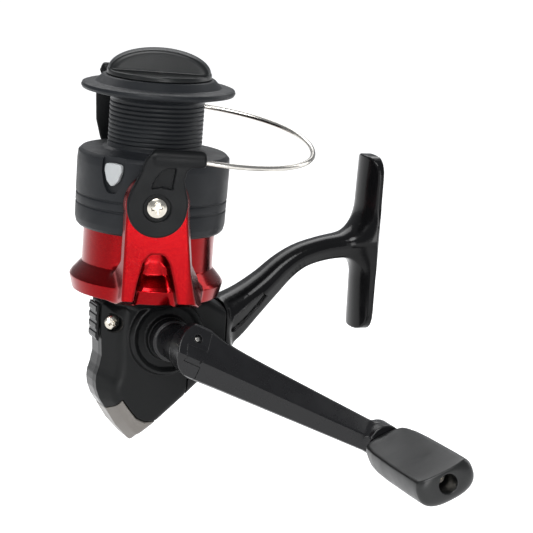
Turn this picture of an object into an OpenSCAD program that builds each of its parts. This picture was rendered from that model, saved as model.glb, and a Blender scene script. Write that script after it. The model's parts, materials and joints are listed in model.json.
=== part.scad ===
// Open-face spinning reel: skirted spool, wire bail, folding handle.
// Reel frame: Z is the spool axis, z = 0 at the handle axis, +X towards the foot, handle on -Y.
// The finished part stands with its origin at the middle of the foot's seat.

/* [Spool] */
// Diameter over the front lip
lip_d = 46; // [42:0.5:50]
// Height of the widest part of the lip above the handle axis
lip_z = 73.6; // [71:0.2:77]
// Diameter of the arbor that carries the line
arbor_d = 28.2; // [27:0.2:30]
// Length of the arbor between lip and skirt
arbor_len = 15; // [13:0.5:16]
// Number of shallow rings round the arbor
arbor_rings = 10; // [6:1:12]
// Outer diameter of the skirt
skirt_d = 45.6; // [44.5:0.1:46]
// Height of the skirt
skirt_h = 24; // [22:0.5:26]
// Wall of the skirt
skirt_wall = 2.3; // [1.8:0.1:2.5]
// Diameter of the pocket for the drag washers
drag_pocket_d = 21; // [18:0.5:22]
// Depth of the pocket for the drag washers
drag_pocket_depth = 9; // [8.5:0.1:9.6]

/* [Drag knob] */
// Diameter of the drag knob
drag_knob_d = 30.9; // [28:0.1:31]
// Height of the drag knob above its base
drag_knob_h = 8; // [6:0.2:9]
// Width of the finger bar across the knob
drag_bar_w = 10.6; // [8:0.2:12]

/* [Rotor] */
// Outer diameter of the rotor drum
rotor_d = 39.3; // [38:0.1:39.8]
// Wall of the rotor drum
rotor_wall = 1.6; // [1.2:0.1:1.8]
// Height of the drum's upper edge above the handle axis
rotor_top = 40; // [38:0.5:41]
// Distance that the flared rim stands out past the spool's lip
rim_over = 0.1; // [0:0.05:0.3]
// Height of the lower edge of the rim
rim_bottom = 12.3; // [11.6:0.1:13]
// Height of the widest part of the rim
rim_z = 16.4; // [15.6:0.2:17]
// Height where the rim meets the drum
rim_top = 20.4; // [19.6:0.2:21]
// Thickness of the ears
ear_t = 3.1; // [2.8:0.1:3.4]
// Turn of the rotor about the spool axis as photographed
rotor_angle = -16.6; // [-40:0.1:20]

/* [Bail] */
// Height of the bail pivots above the handle axis
pivot_z = 42.6; // [41:0.2:44]
// Radius of the round end of each bail arm
arm_r = 8.5; // [7.5:0.1:9]
// Thickness of the bail arms
arm_t = 3.4; // [3.2:0.1:4]
// Radius of the pivot post on each ear
post_r = 2.4; // [2:0.1:2.6]
// Diameter of the bail wire
wire_d = 1.6; // [1.2:0.1:2]
// Reach of the wire loop past its ends
wire_reach = 33.8; // [31:0.2:36]
// Squareness of the wire loop, 2 for an ellipse
wire_power = 2.185; // [2:0.005:2.4]
// Sideways distance from the pivot to the wire's front end
wire_side = 13.6; // [13:0.1:14.4]
// Height of the wire's front end above the pivot
wire_rise = 13.8; // [12.8:0.2:14.6]
// Rise of the wire for each millimetre that it runs back
wire_tilt = 0.157; // [0.12:0.001:0.18]
// Drop of the wire for each millimetre that it reaches out
wire_sag = 0.096; // [0.06:0.002:0.12]
// Radius of the line roller
roller_r = 3.6; // [3.2:0.1:3.8]
// Width of the line roller
roller_w = 5.2; // [4.4:0.2:5.4]
// Slope of the roller axis in degrees
roller_slope = 13; // [10:0.5:16]

/* [Body] */
// Half width of the housing
body_half_w = 10; // [9.6:0.1:11]
// Wall of the housing
body_wall = 1.6; // [1.4:0.1:1.8]
// Distance of the rear wall from the spool axis
body_back = 15.5; // [15.3:0.1:16.2]
// Half width of the rear wall between its chamfers
rear_half = 4.6; // [4.3:0.1:5]
// Drop of the tail below the handle axis
tail_drop = 33.5; // [33:0.1:34.5]
// Distance of the stem root from the spool axis
body_front = 27.5; // [27:0.1:29]
// Radius of the neck under the rotor
neck_r = 17; // [16.6:0.1:17.2]
// Distance of the parting plane from the spool axis
part_y = 1.2; // [0.8:0.1:1.6]

/* [Foot] */
// Distance of the seat from the spool axis
foot_x = 72.7; // [70:0.1:76]
// Height of the middle of the foot above the handle axis
foot_z = 28; // [26:0.1:30]
// Length of the foot
foot_len = 54.5; // [50:0.5:60]
// Width of the foot
foot_w = 16; // [14:0.5:18]
// Thickness of the foot at its middle
foot_t = 3.6; // [3.2:0.1:4.4]
// Thickness of the foot at its tips
foot_tip_t = 2; // [1.6:0.1:2.4]

/* [Gears] */
// Module of the gears
gear_module = 0.6; // [0.58:0.01:0.62]
// Teeth of the face gear
drive_teeth = 45; // [45:9:45]
// Teeth of the pinion
pinion_teeth = 9; // [9:1:9]
// Teeth of the small gear on the drive axle
small_teeth = 13; // [13:1:13]
// Teeth of the crosswind gear
cross_teeth = 26; // [26:1:26]
// Width of the face gear's teeth
drive_face = 2.4; // [2:0.1:2.6]
// Stroke of the spool
stroke = 11; // [9:0.5:11.5]

/* [Shafts] */
// Radius of the main shaft
shaft_r = 1.4; // [1.3:0.05:1.45]
// Radius of the drive axle
axle_r = 2.2; // [2.1:0.05:2.3]
// Radius of the rod that joins handle and screw cap
rod_r = 1.2; // [1.1:0.05:1.3]
// Radius of the pinion's upper tube
tube_r = 2.9; // [2.8:0.05:3]

/* [Handle] */
// Distance from the handle axis to the knob axis
handle_len = 63.7; // [58:0.1:70]
// Angle of the arm below the horizontal
handle_angle = 23.3; // [-90:0.1:90]
// Distance of the back of the handle head from the spool axis
head_y = 28; // [26:0.2:32]
// Depth of the handle head
head_depth = 8; // [7.6:0.1:9]
// Radius of the handle head
head_r = 8.6; // [8.2:0.1:8.8]
// Outward splay of the arm at its tip
arm_splay = 10; // [6:0.5:14]
// Length of the knob
knob_len = 42; // [36:0.5:46]
// Half width of the knob's paddle
knob_half_w = 9.5; // [8.5:0.1:11]
// Half thickness of the knob's paddle
knob_half_t = 5.8; // [5.4:0.1:6.4]

/* [Clearances] */
// Radial clearance of running fits
run_gap = 0.05; // [0.03:0.01:0.08]
// Gap between pieces that move past each other
move_gap = 0.3; // [0.25:0.01:0.4]

/* [Hidden] */
$fn = 64;
black = "#2b2c2e";
red = "#b01018";
steel = "#b8bcc0";
brass = "#c9a86a";
grey = "#8b8681";
white = "#d9d6cc";

// Handle axis and gear train
axle_x = shaft_r + axle_r + 0.5;
mesh_z = drive_teeth * gear_module / 2;
drive_out = norm([mesh_z + drive_face / 2, axle_x]);
pinion_pr = pinion_teeth * gear_module / 2;
tooth_up = 0.75 * gear_module;
tooth_down = 1.1 * gear_module;
pinion_z0 = mesh_z - drive_face / 2 - 0.6;
pinion_z1 = mesh_z + drive_face / 2 + 0.6;
cross_gap = (small_teeth + cross_teeth) * gear_module / 2;
cross_z = -sqrt(cross_gap * cross_gap - axle_x * axle_x);
cross_y0 = 3.2;
cross_t = 2.6;
crank_r = stroke / 2;

// Heights up the spool axis
plate_z = drive_out + 0.8;
plate_t = 3.4;
neck_top = plate_z + plate_t;
clutch_h = 5;
disc_z = neck_top + clutch_h + 0.8;
disc_t = 2.6;
nut_z = disc_z + disc_t;
nut_h = 3.2;
bearing_t = 2.8;
bearing_r = 6.2;
bush_h = 2.4;
bush_r = 4;
pinion_stub_r = shaft_r + 0.7;
pinion_bush_r = pinion_stub_r + 0.8;

// One-way clutch round the pinion's tube
clutch_count = 6;
sleeve_r = tube_r + 1.6;
roll_r = 0.9;
roll_at = sleeve_r + roll_r + 0.1;
clutch_in = roll_at + roll_r + 0.1;
clutch_out = clutch_in + 1.8;

// Crosswind slider and its guide rod
slider_half = 1.9;
slider_high = 2.4;
bracket_t = 2;
guide_r = 1;
guide_x = -9.6;
guide_bottom = cross_z - crank_r - slider_high - 0.4 - bracket_t;
guide_top = cross_z + crank_r + slider_high + 0.4 + bracket_t;
cross_post_r = 1.9;

// Turn that sets a crosswind tooth into a gap of the small gear
cross_line = atan2(-cross_z, -axle_x);
cross_phase = cross_line + 180 + (180 / cross_teeth)
    - (cross_line - round(cross_line * small_teeth / 360) * 360 / small_teeth) * -small_teeth / cross_teeth;

// Spool and drag
lip_r = lip_d / 2;
arbor_r = arbor_d / 2;
skirt_r = skirt_d / 2;
arbor_top = lip_z - 2.8;
flange_z = arbor_top - arbor_len;
skirt_bottom = flange_z - skirt_h;
skirt_in = skirt_r - skirt_wall;
collar_z = lip_z + 3.4;
collar_r = drag_knob_d / 2 + 0.4;
pocket_r = drag_pocket_d / 2;
pocket_z = collar_z - drag_pocket_depth;
hub_r = 4.4;
hub_bottom = flange_z - 7;
seat_t = 1.6;
click_t = 1.4;
washer_t = 0.7;
washer_gap = 0.03;
knob_z = collar_z + 0.7;
drag_nut_r = 5.15;
drag_nut_h = 2.5;
clip_t = 1.4;
seat_z = hub_bottom - 0.9 - click_t - seat_t;
click_r = 5.6;

// Rotor and bail
rotor_r = rotor_d / 2;
rotor_in = rotor_r - rotor_wall;
rim_r = lip_r + rim_over;
ear_in = skirt_r + 0.7;
ear_out = ear_in + ear_t;
arm_in = ear_out + move_gap;
arm_out = arm_in + arm_t;
head_seat = arm_out - 1;
wire_r = wire_d / 2;
wire_a = arm_in + arm_t / 2 - 0.4;
wire_z = pivot_z + wire_rise;
back_z = wire_z + 2 * wire_a * wire_tilt;
cone_at = 14;
roller_at = cone_at + 4.9;
boss_at = roller_at + roller_w + 0.3;
boss_len = 5.8;
boss_r = 3.9;
roller_bore = 2;
wire_steps = 40;
ear_corner_r = 29;
spring_x = 5;
spring_z0 = 30;
spring_len = 12;
coil_r = 0.75;
coil_wire = 0.22;

// Body
neck_z = 8;
neck_flare = 4;
boss_y = body_half_w + 1.6;
boss2_y = boss_y + 1;
cover_edge = body_front - 4.2;
cover_low = cover_edge - 11.5;
cap_r = 6.2;
cap_h = 3.3;
cap_step_r = 4.6;
cap_step_h = 0.9;
wall_y = body_half_w - body_wall;
// Outlines in X and Z of the rear wall with its neighbours, and of each flat side, point by point
body_rim = [[17.5, 11.8], [-body_back + 0.5, 9.5], [-body_back + 0.6, 4], [-body_back + 1, -2],
    [-body_back + 1.4, -7], [-body_back + 0.8, -10.5], [-body_back + 0.1, -13], [-body_back, -15],
    [-body_back + 0.4, -17.4], [-body_back + 1.6, -20.3], [-8.4, -tail_drop + 5.1], [-3.4, -tail_drop],
    [2.3, -tail_drop + 5.2], [12, -19.5], [body_front, -5],
    [body_front - 2.6, 7.8]];
body_face = [[17, 10.8], [-9.8, 9], [-10, 3], [-10, -2], [-9.6, -7.5], [-9.6, -10.5], [-9.9, -13],
    [-10.8, -15], [-11, -17.2], [-10.2, -19.6], [-5.8, -tail_drop + 7.1], [-2.6, -tail_drop + 3.2],
    [1.5, -tail_drop + 6.1], [11.2, -18.6],
    [body_front - 1.8, -4.6], [body_front - 3.8, 7]];
screw_r = 2.2;
screw_stem_r = 0.8;
screw_head_h = 1.4;
screw_post_r = 1.8;
// Cover screws: place in X and Z, side that the head shows on, and how far head seat and tip lie from the middle
screw_places = [[-12.3, 3.8, -1, 6, 4.4], [20.3, 4, 1, wall_y - 0.1, wall_y - 1],
    [1, -22, 1, wall_y - 0.1, wall_y - 1]];
switch_z = 3.2;
switch_lean = -atan2(0.5, 11.5);

// Handle
head_u = 2.4;
head_n = 1.5;
head_up = 8.4;
head_down = 6.9;
seam_u = 3.2;
pin_u = -0.5;
arm_back = 0.6;
knob_lean = 25;
pin_y = head_y + head_depth - 2.6;
tongue_r = 2.3;
tongue_h = 4.6;
pin_r = 1.1;
tip_y = head_y + head_depth + arm_splay;
tip_r = 5.5;
spindle_r = 2;
knob_y = tip_y + move_gap;

// Shared shapes

// From the reel frame to the middle of the foot's seat
module place() {
    translate([-foot_x, 0, -foot_z]) children();
}

// From the rotor's own frame, front ear on -Y, to the reel frame
module turned() {
    rotate([0, 0, rotor_angle]) children();
}

// Handle frame: X along the arm, origin on the handle axis
module on_handle() {
    translate([axle_x, 0, 0]) rotate([0, handle_angle, 0]) children();
}

// Round bar along Y from y0 to y1
module bar_y(x, z, y0, y1, r) {
    translate([x, y1, z]) rotate([90, 0, 0]) cylinder(r = r, h = y1 - y0);
}

// Round ring along Z
module ring_z(r_out, r_in, z0, h) {
    translate([0, 0, z0]) difference() {
        cylinder(r = r_out, h = h);
        translate([0, 0, -1]) cylinder(r = r_in, h = h + 2);
    }
}

// Outline in X and Z, drawn out along Y from y0 to y1
module slab_y(y0, y1) {
    translate([0, y1, 0]) rotate([90, 0, 0]) linear_extrude(y1 - y0) children();
}

// Cross slots in a screw head that faces +Z
module cross_slots(size, depth) {
    for (a = [0, 90]) rotate([0, 0, a])
        translate([-size, -size * 0.18, -depth]) cube([2 * size, size * 0.36, depth + 1]);
}

// Screw with its head's underside at z = 0 and the shank going down
module screw(head_r, head_h, stem_r, stem_len) {
    difference() {
        union() {
            cylinder(r1 = head_r, r2 = head_r * 0.8, h = head_h);
            translate([0, 0, -stem_len]) cylinder(r = stem_r, h = stem_len);
        }
        translate([0, 0, head_h]) cross_slots(head_r * 0.55, head_h * 0.6);
    }
}

function sgn_pow(v, p) = sign(v) * pow(abs(v), p);
function oval(n, a, b, p) = [for (i = [0:n - 1])
    [a * sgn_pow(cos(360 * i / n), 2 / p), b * sgn_pow(sin(360 * i / n), 2 / p)]];
function unit(v) = v / norm(v);

// Six times the volume inside a closed set of faces
function volume6(points, faces) = [for (f = faces) cross(points[f[0]], points[f[1]]) * points[f[2]]]
    * [for (f = faces) 1];

// Skin over a list of rings with the same number of points
module skin(rings) {
    n = len(rings[0]);
    m = len(rings);
    points = [for (ring = rings) for (p = ring) p];
    sides = [for (i = [0:m - 2], j = [0:n - 1], k = [0, 1]) let (a = i * n + j, b = i * n + (j + 1) % n)
        k == 0 ? [a, b, b + n] : [a, b + n, a + n]];
    first = [for (j = [1:n - 2]) [0, j + 1, j]];
    last = [for (j = [1:n - 2]) [(m - 1) * n, (m - 1) * n + j, (m - 1) * n + j + 1]];
    faces = concat(sides, first, last);
    inward = volume6(points, faces) > 0;
    polyhedron(points = points, faces = [for (f = faces) inward ? [f[2], f[1], f[0]] : f], convexity = 6);
}

// Round tube along a list of points whose direction never comes near Z
function tube_rings(path, r, n) = [for (i = [0:len(path) - 1])
    let (t = unit(path[min(i + 1, len(path) - 1)] - path[max(i - 1, 0)]), u = unit(cross([0, 0, 1], t)),
        w = cross(t, u))
    [for (j = [0:n - 1]) path[i] + r * (cos(360 * j / n) * u + sin(360 * j / n) * w)]];

// Straight-sided gear outline
function gear_points(teeth, m, thin) = let (pr = teeth * m / 2, half = 90 / teeth * thin)
    [for (i = [0:teeth - 1], k = [0:3])
        let (out = k == 1 || k == 2, spread = out ? half * 0.45 : half * 1.55, r = out ? pr + tooth_up
            : pr - tooth_down, a = 360 * i / teeth + (k < 2 ? -spread : spread)) [r * cos(a), r * sin(a)]];

// Body

// Outline with every side moved inwards by d
function drawn_in(points, d) = let (n = len(points)) [for (i = [0:n - 1])
    let (u = unit(points[i] - points[(i + n - 1) % n]), v = unit(points[(i + 1) % n] - points[i]))
    points[i] + d / (1 + u * v) * [-u.y - v.y, u.x + v.x]];

// Housing with flat sides, broad chamfers to the rear wall and a round neck, drawn in by inset on every side
module body_block(inset) {
    half = body_half_w - inset;
    levels = [[-half, body_face], [-rear_half, body_rim], [rear_half, body_rim], [half, body_face]];
    skin([for (level = levels) [for (q = drawn_in(level[1], inset)) [q.x, level[0], q.y]]]);
    rotate_extrude($fn = 96) polygon([[0, 0], [half - 2.5, 0], [half, neck_z],
        [neck_r - inset, neck_z + neck_flare], [neck_r - inset, plate_z], [0, plate_z]]);
}

// Part of the housing that the tail guard takes over
module tail_zone() {
    slab_y(-30, 30) polygon([[-40, -27.5], [-12.2, -23.3], [-10.2, -21.7], [-8.4, -19.4], [-6.5, -21.9],
        [-3.7, -25.2], [-1.1, -26.4], [30, -26.2], [30, -60], [-40, -60]]);
}

// The handle side of the parting plane
module cover_zone() {
    slab_y(-40, -part_y) polygon([[-60, -60], [cover_low, -60], [cover_low, -13.5], [cover_edge, -3.5],
        [cover_edge, 9], [cover_edge - 4, plate_z], [-60, plate_z]]);
}

// Curved stem from the housing to the foot
module stem() {
    p = [[19, -2], [40, 12], [46, 25], [foot_x - 2.4, foot_z - 1]];
    steps = 14;
    sides = 20;
    skin([for (i = [0:steps]) let (t = i / steps, s = 1 - t,
            c = s * s * s * p[0] + 3 * s * s * t * p[1] + 3 * s * t * t * p[2] + t * t * t * p[3],
            d = unit(s * s * (p[1] - p[0]) + 2 * s * t * (p[2] - p[1]) + t * t * (p[3] - p[2])),
            high = 3.3 + 5.2 * pow(s, 2.2) + 3.5 * pow(t, 9), wide = 4 + 4.6 * pow(s, 1.8) + 1.2 * pow(t, 6))
        [for (q = oval(sides, wide, high, 2.5)) [c.x - d.y * q.y, q.x, c.y + d.x * q.y]]]);
}

// Foot plate, thick in the middle and thin at its rounded tips
module foot() {
    steps = 16;
    skin([for (i = [0:steps]) let (k = -cos(180 * i / steps), taper = 1 - pow(abs(k), 1.6),
            half = foot_w / 2 * max(0.25, pow(1 - pow(abs(k), 6), 0.5)),
            t = foot_tip_t + (foot_t - foot_tip_t) * taper)
        [for (q = [[0, -half], [0, half], [-t * 0.55, half], [-t, half * 0.6], [-t, -half * 0.6],
                [-t * 0.55, -half]])
            [foot_x + q.x, q.y, foot_z + foot_len / 2 * k]]]);
}

// Frame of one cover screw, with its head towards -Y
module at_screw(p) {
    translate([p.x, 0, p.y]) mirror([0, p.z > 0 ? 1 : 0, 0]) children();
}

// Sunk head and bore for each cover screw
module screw_holes() {
    for (p = screw_places) at_screw(p) {
        bar_y(0, 0, -body_half_w - 1, -p[3], screw_r + 0.5);
        bar_y(0, 0, -p[3] - 1, p[4], screw_stem_r + 0.02);
    }
}

// Posts for the cover screws, from the wall on each side to the parting plane
module screw_posts() {
    for (p = screw_places) {
        head = p.z < 0 ? -p[3] - 0.6 : -p[4] - 0.6;
        tip = p.z < 0 ? p[4] + 0.8 : p[3] + 0.6;
        bar_y(p.x, p.y, head, tip, screw_post_r);
        bar_y(p.x, p.y, head, head + 2.2, screw_r + 1.2);
        bar_y(p.x, p.y, tip - 2.2, tip, screw_r + 1.2);
    }
}

module body_frame() {
    color(black) difference() {
        union() {
            difference() {
                union() {
                    difference() {
                        union() {
                            body_block(0);
                            stem();
                        }
                        cover_zone();
                        tail_zone();
                    }
                    translate([0, 0, plate_z]) cylinder(r = neck_r, h = plate_t);
                    foot();
                    bar_y(axle_x, 0, 0, boss_y, 8);
                }
                difference() {
                    body_block(body_wall);
                    translate([cover_edge - body_wall, -40, -60]) cube([60, 80, 120]);
                }
                translate([0, 0, plate_z - 1]) cylinder(r = tube_r + 0.8, h = plate_t + 2);
                translate([0, 0, neck_top - bearing_t]) cylinder(r = bearing_r + run_gap, h = bearing_t + 1);
                bar_y(axle_x, 0, 0, boss_y + 1, bush_r + run_gap);
                switch_slot();
            }
            difference() {
                intersection() {
                    frame_posts();
                    body_block(body_wall / 2);
                }
                guard_shell(0.15);
            }
        }
        screw_holes();
    }
}

// Slot in the rear wall for the anti-reverse switch
module switch_slot() {
    on_switch() translate([-1, -1.5, -9.1]) cube([3.4, 3, 7.6]);
}

// Switch frame: on the sloping rear wall, Z up the slope
module on_switch() {
    translate([-body_back + 0.65, 0, switch_z]) rotate([0, switch_lean, 0]) children();
}

// Posts and brackets that grow from the frame's far wall
module frame_posts() {
    sunk = wall_y + 0.4;
    bush_block = bush_r + 1;
    rib_w = 3.4;
    rib_y = cross_y0 + cross_t + move_gap + 1.6;
    bar_y(0, cross_z, cross_y0 - 0.1, sunk, cross_post_r);
    bar_y(0, cross_z, cross_y0 + cross_t + move_gap, sunk, cross_post_r + 1.5);
    difference() {
        translate([-bush_block, -bush_block, pinion_z0 - bush_h])
            cube([2 * bush_block, bush_block + body_half_w + 1, bush_h]);
        translate([0, 0, pinion_z0 - bush_h - 1]) cylinder(r = pinion_bush_r + 0.01, h = bush_h + 2);
        drive_sweep();
    }
    difference() {
        translate([guide_x - rib_w / 2, 0, 0]) {
            for (z = [guide_bottom, guide_top - bracket_t]) translate([0, -rib_w / 2, z])
                cube([rib_w, rib_y + rib_w / 2, bracket_t]);
            translate([0, rib_y - 1.6, guide_bottom]) cube([rib_w, 1.6, guide_top - guide_bottom]);
            translate([0, rib_y - 1.6, cross_z - 2]) cube([rib_w, sunk - rib_y + 1.6, guide_top - cross_z + 2]);
        }
        translate([guide_x, 0, guide_bottom - 1]) cylinder(r = guide_r, h = guide_top - guide_bottom + 2);
    }
    difference() {
        screw_posts();
        translate([-60, -part_y - 60, -60]) cube([120, 60, 120]);
        drive_sweep();
    }
}

// Space swept by the face gear
module drive_sweep() {
    bar_y(axle_x, 0, -body_half_w, -pinion_pr + tooth_up + move_gap, drive_out + move_gap);
}

module side_cover() {
    color(black) difference() {
        union() {
            intersection() {
                difference() {
                    body_block(0);
                    body_block(body_wall);
                }
                cover_zone();
            }
            bar_y(axle_x, 0, -boss_y, -body_half_w + body_wall, 11);
            bar_y(axle_x, 0, -boss2_y, -body_half_w + body_wall, 8.6);
            intersection() {
                screw_posts();
                body_block(body_wall / 2);
                cover_zone();
            }
        }
        tail_zone();
        bar_y(axle_x, 0, -boss2_y - 1, 0, bush_r + run_gap);
        screw_holes();
        switch_slot();
        bar_y(axle_x, 0, -wall_y + 0.4, 0, drive_out + 0.4);
    }
}

// Wall of the housing's tail, thicker than the housing's own by extra
module guard_shell(extra) {
    intersection() {
        difference() {
            body_block(0);
            body_block(body_wall + extra);
        }
        tail_zone();
    }
}

module tail_guard() {
    color(grey) guard_shell(0);
}

module cover_screws() {
    color(brass) for (p = screw_places) at_screw(p) translate([0, -p[3], 0]) rotate([90, 0, 0])
        screw(screw_r, screw_head_h, screw_stem_r, p[3] + p[4] - 0.6);
}

// Ribbed thumb tab outside, a stem through the slot and a thin keeper inside
module anti_reverse_switch() {
    tab_w = 7.2;
    tab_h = 11;
    keeper_x = body_wall / cos(switch_lean) + move_gap;
    color(black) on_switch() {
        for (z = [-4.6, -1.8, 1, 3.8]) translate([-1.5, -tab_w / 2, z]) cube([0.8, tab_w, 1.6]);
        translate([-1.1, -tab_w / 2, -tab_h / 2]) cube([0.8, tab_w, tab_h]);
        translate([-0.8, -1.2, -5.8]) cube([keeper_x + 1.2, 2.4, 4]);
        translate([keeper_x, -3, -4.8]) cube([0.5, 6, 3]);
    }
}

// Bearings and clutch

module pinion_bearing() {
    color(steel) translate([0, 0, neck_top - bearing_t]) difference() {
        cylinder(r = bearing_r, h = bearing_t - 0.1);
        translate([0, 0, -1]) cylinder(r = tube_r + run_gap, h = bearing_t + 2);
        for (z = [-1, bearing_t - 0.5]) translate([0, 0, z])
            ring_z(bearing_r - 0.8, tube_r + 0.8, 0, 1.4);
    }
}

module pinion_bush() {
    color(brass) ring_z(pinion_bush_r, pinion_stub_r + run_gap, pinion_z0 - bush_h, bush_h - 0.1);
}

module drive_bushes() {
    color(brass) {
        difference() {
            bar_y(axle_x, 0, -boss2_y, -wall_y + 0.2, bush_r);
            bar_y(axle_x, 0, -40, 40, axle_r + run_gap);
        }
        difference() {
            bar_y(axle_x, 0, wall_y - 1.4, boss_y, bush_r);
            bar_y(axle_x, 0, -40, 40, axle_r + run_gap);
        }
    }
}

module clutch_housing() {
    color(steel) {
        ring_z(clutch_out, clutch_in, neck_top, clutch_h);
        ring_z(clutch_in + 0.5, sleeve_r + 0.2, neck_top, 0.5);
        ring_z(clutch_in + 0.5, sleeve_r + 0.2, neck_top + clutch_h - 0.5, 0.5);
    }
}

module clutch_rollers() {
    color(steel) for (i = [0:clutch_count - 1]) rotate([0, 0, 360 * i / clutch_count])
        translate([roll_at, 0, neck_top + 0.5]) cylinder(r = roll_r, h = clutch_h - 1);
}

module clutch_sleeve() {
    color(steel) ring_z(sleeve_r, tube_r + 0.02, neck_top + 0.1, disc_z - neck_top - 0.12);
}

module guide_rod() {
    color(steel) translate([guide_x, 0, guide_bottom]) cylinder(r = guide_r - 0.01, h = guide_top - guide_bottom);
}

// Drive train

// Face gear, its axle and the small crosswind gear in one piece
module drive_gear() {
    web_y = -pinion_pr - tooth_down;
    back_y = -wall_y + 0.9;
    color(brass) difference() {
        translate([axle_x, 0, 0]) {
            for (i = [0:drive_teeth - 1]) rotate([0, (i + 0.5) * 360 / drive_teeth, 0]) drive_tooth(web_y);
            bar_y(0, 0, web_y - 1.4, web_y, drive_out);
            bar_y(0, 0, back_y, web_y, 6);
            bar_y(0, 0, -boss2_y, boss_y + 0.2, axle_r);
            translate([0, cross_y0, 0]) rotate([-90, 0, 0]) linear_extrude(cross_t)
                polygon(gear_points(small_teeth, gear_module, 0.82));
        }
        bar_y(axle_x, 0, -40, 40, rod_r + run_gap);
    }
}

// One tooth of the face gear, along the pinion's axis where it meshes
module drive_tooth(web_y) {
    half = PI * gear_module / 4 * 0.8;
    lean = tan(20);
    tip = -pinion_pr + tooth_up;
    translate([-axle_x, 0, mesh_z - drive_face / 2]) linear_extrude(drive_face)
        polygon([[-half - lean * tooth_down, web_y - 0.3], [half + lean * tooth_down, web_y - 0.3],
            [half - lean * tooth_up, tip], [-half + lean * tooth_up, tip]]);
}

module pinion_gear() {
    color(brass) difference() {
        union() {
            translate([0, 0, pinion_z0]) linear_extrude(pinion_z1 - pinion_z0)
                rotate([0, 0, -90]) polygon(gear_points(pinion_teeth, gear_module, 0.82));
            translate([0, 0, pinion_z0 - bush_h]) cylinder(r = pinion_stub_r, h = bush_h + 0.5);
            translate([0, 0, pinion_z1 - 0.1]) cylinder(r = tube_r, h = nut_z + nut_h - pinion_z1);
        }
        translate([0, 0, -40]) cylinder(r = shaft_r + run_gap, h = 140);
    }
}

module cross_gear() {
    color(white) difference() {
        union() {
            translate([0, cross_y0, cross_z]) rotate([-90, 0, 0]) linear_extrude(cross_t)
                rotate([0, 0, cross_phase]) polygon(gear_points(cross_teeth, gear_module, 0.82));
            bar_y(-crank_r, cross_z, slider_half + move_gap, cross_y0 + 1, 1.1);
        }
        bar_y(0, cross_z, -10, 20, cross_post_r + run_gap);
    }
}

module cross_screw() {
    color(steel) translate([0, cross_y0 - 0.1, cross_z]) rotate([90, 0, 0]) cylinder(r = 2.6, h = 0.7);
}

module cross_slider() {
    color(white) difference() {
        translate([guide_x - 2, -slider_half, cross_z - slider_high])
            cube([-guide_x + 2 + crank_r + 2.2, 2 * slider_half, 2 * slider_high]);
        translate([guide_x, 0, cross_z - 10]) cylinder(r = guide_r + run_gap, h = 20);
        translate([0, 0, cross_z - 1.6]) cylinder(r = shaft_r + 0.01, h = 20);
        translate([-crank_r - 1.5, slider_half - 0.5, cross_z - 1.5]) cube([2 * crank_r + 3, 2, 3]);
        translate([0, 0, cross_z - 3]) cylinder(r = 0.7, h = 4);
    }
}

module slider_screw() {
    color(steel) translate([0, 0, cross_z - slider_high]) rotate([180, 0, 0]) screw(1.3, 0.9, 0.68, 0.8);
}

module main_shaft() {
    color(steel) difference() {
        translate([0, 0, cross_z - 1.6]) cylinder(r = shaft_r, h = knob_z + 4 - cross_z + 1.6);
        bar_y(0, seat_z + seat_t / 2, -5, 5, 0.45);
        translate([0, 0, cross_z - 2]) cylinder(r = 0.7, h = 1.6);
    }
}

// Spool, seat and drag

module spool_seat() {
    color(brass) difference() {
        ring_z(3.4, shaft_r + 0.02, seat_z, seat_t);
        bar_y(0, seat_z + seat_t / 2, -5, 5, 0.45);
    }
}

module seat_pin() {
    color(steel) bar_y(0, seat_z + seat_t / 2, -3.3, 3.3, 0.44);
}

module click_gear() {
    notches = 24;
    color(white) translate([0, 0, seat_z + seat_t]) linear_extrude(click_t) difference() {
        circle(r = click_r);
        for (i = [0:notches - 1]) rotate(360 * i / notches) translate([click_r, 0]) circle(r = 0.5, $fn = 16);
        circle(r = shaft_r + 0.02);
    }
}

module seat_washer() {
    color(white) ring_z(4, shaft_r + 0.02, seat_z + seat_t + click_t, 0.85);
}

// Half section of the spool, from the arbor round the lip and the skirt
module spool_section() {
    edge = 1.1;
    difference() {
        union() {
            polygon([[hub_r - 0.6, pocket_z - 1.4], [hub_r - 0.6, pocket_z], [pocket_r - 0.5, collar_z - 0.2],
                [collar_r, collar_z], [collar_r + 2.6, collar_z - 1.9], [lip_r - edge, lip_z + edge],
                [lip_r - edge, lip_z - edge], [arbor_r + 0.8, arbor_top], [arbor_r, arbor_top - 0.8],
                [arbor_r - 0.2, flange_z], [arbor_r - 1.8, flange_z - 2], [arbor_r - 1.8, pocket_z - 1.4]]);
            translate([lip_r - edge, lip_z]) circle(r = edge);
            polygon([[arbor_r - 1.8, flange_z - 2.4], [arbor_r - 1.8, flange_z + 0.4],
                [arbor_r - 0.2, flange_z + 0.4], [arbor_r + 0.8, flange_z - 0.6],
                [skirt_r - 1.2, flange_z - 1], [skirt_r - 0.2, flange_z - 2], [skirt_r, flange_z - 4],
                [skirt_r - 0.25, skirt_bottom + 2.2], [skirt_r - 0.8, skirt_bottom + 0.8],
                [skirt_r - 1.5, skirt_bottom], [skirt_in, skirt_bottom], [skirt_in, flange_z - 3]]);
        }
        square([pocket_r, 200], center = false);
    }
}

module spool() {
    groove = 0.35;
    color(black) difference() {
        union() {
            rotate_extrude($fn = 96) difference() {
                spool_section();
                for (i = [0:arbor_rings - 1])
                    translate([arbor_r, flange_z + 1.6 + i * (arbor_len - 3) / (arbor_rings - 1)])
                        circle(r = 0.32, $fn = 12);
                for (z = [9.6, 6.8]) translate([skirt_r - groove, skirt_bottom + z])
                    square([2, 0.5], center = false);
            }
            spool_core();
        }
        translate([0, 0, -50]) cylinder(r = shaft_r + run_gap, h = 200);
        clip_place() translate([0, 0, -clip_t + 0.2]) cylinder(r = 4.1, h = 5);
    }
}

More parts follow.
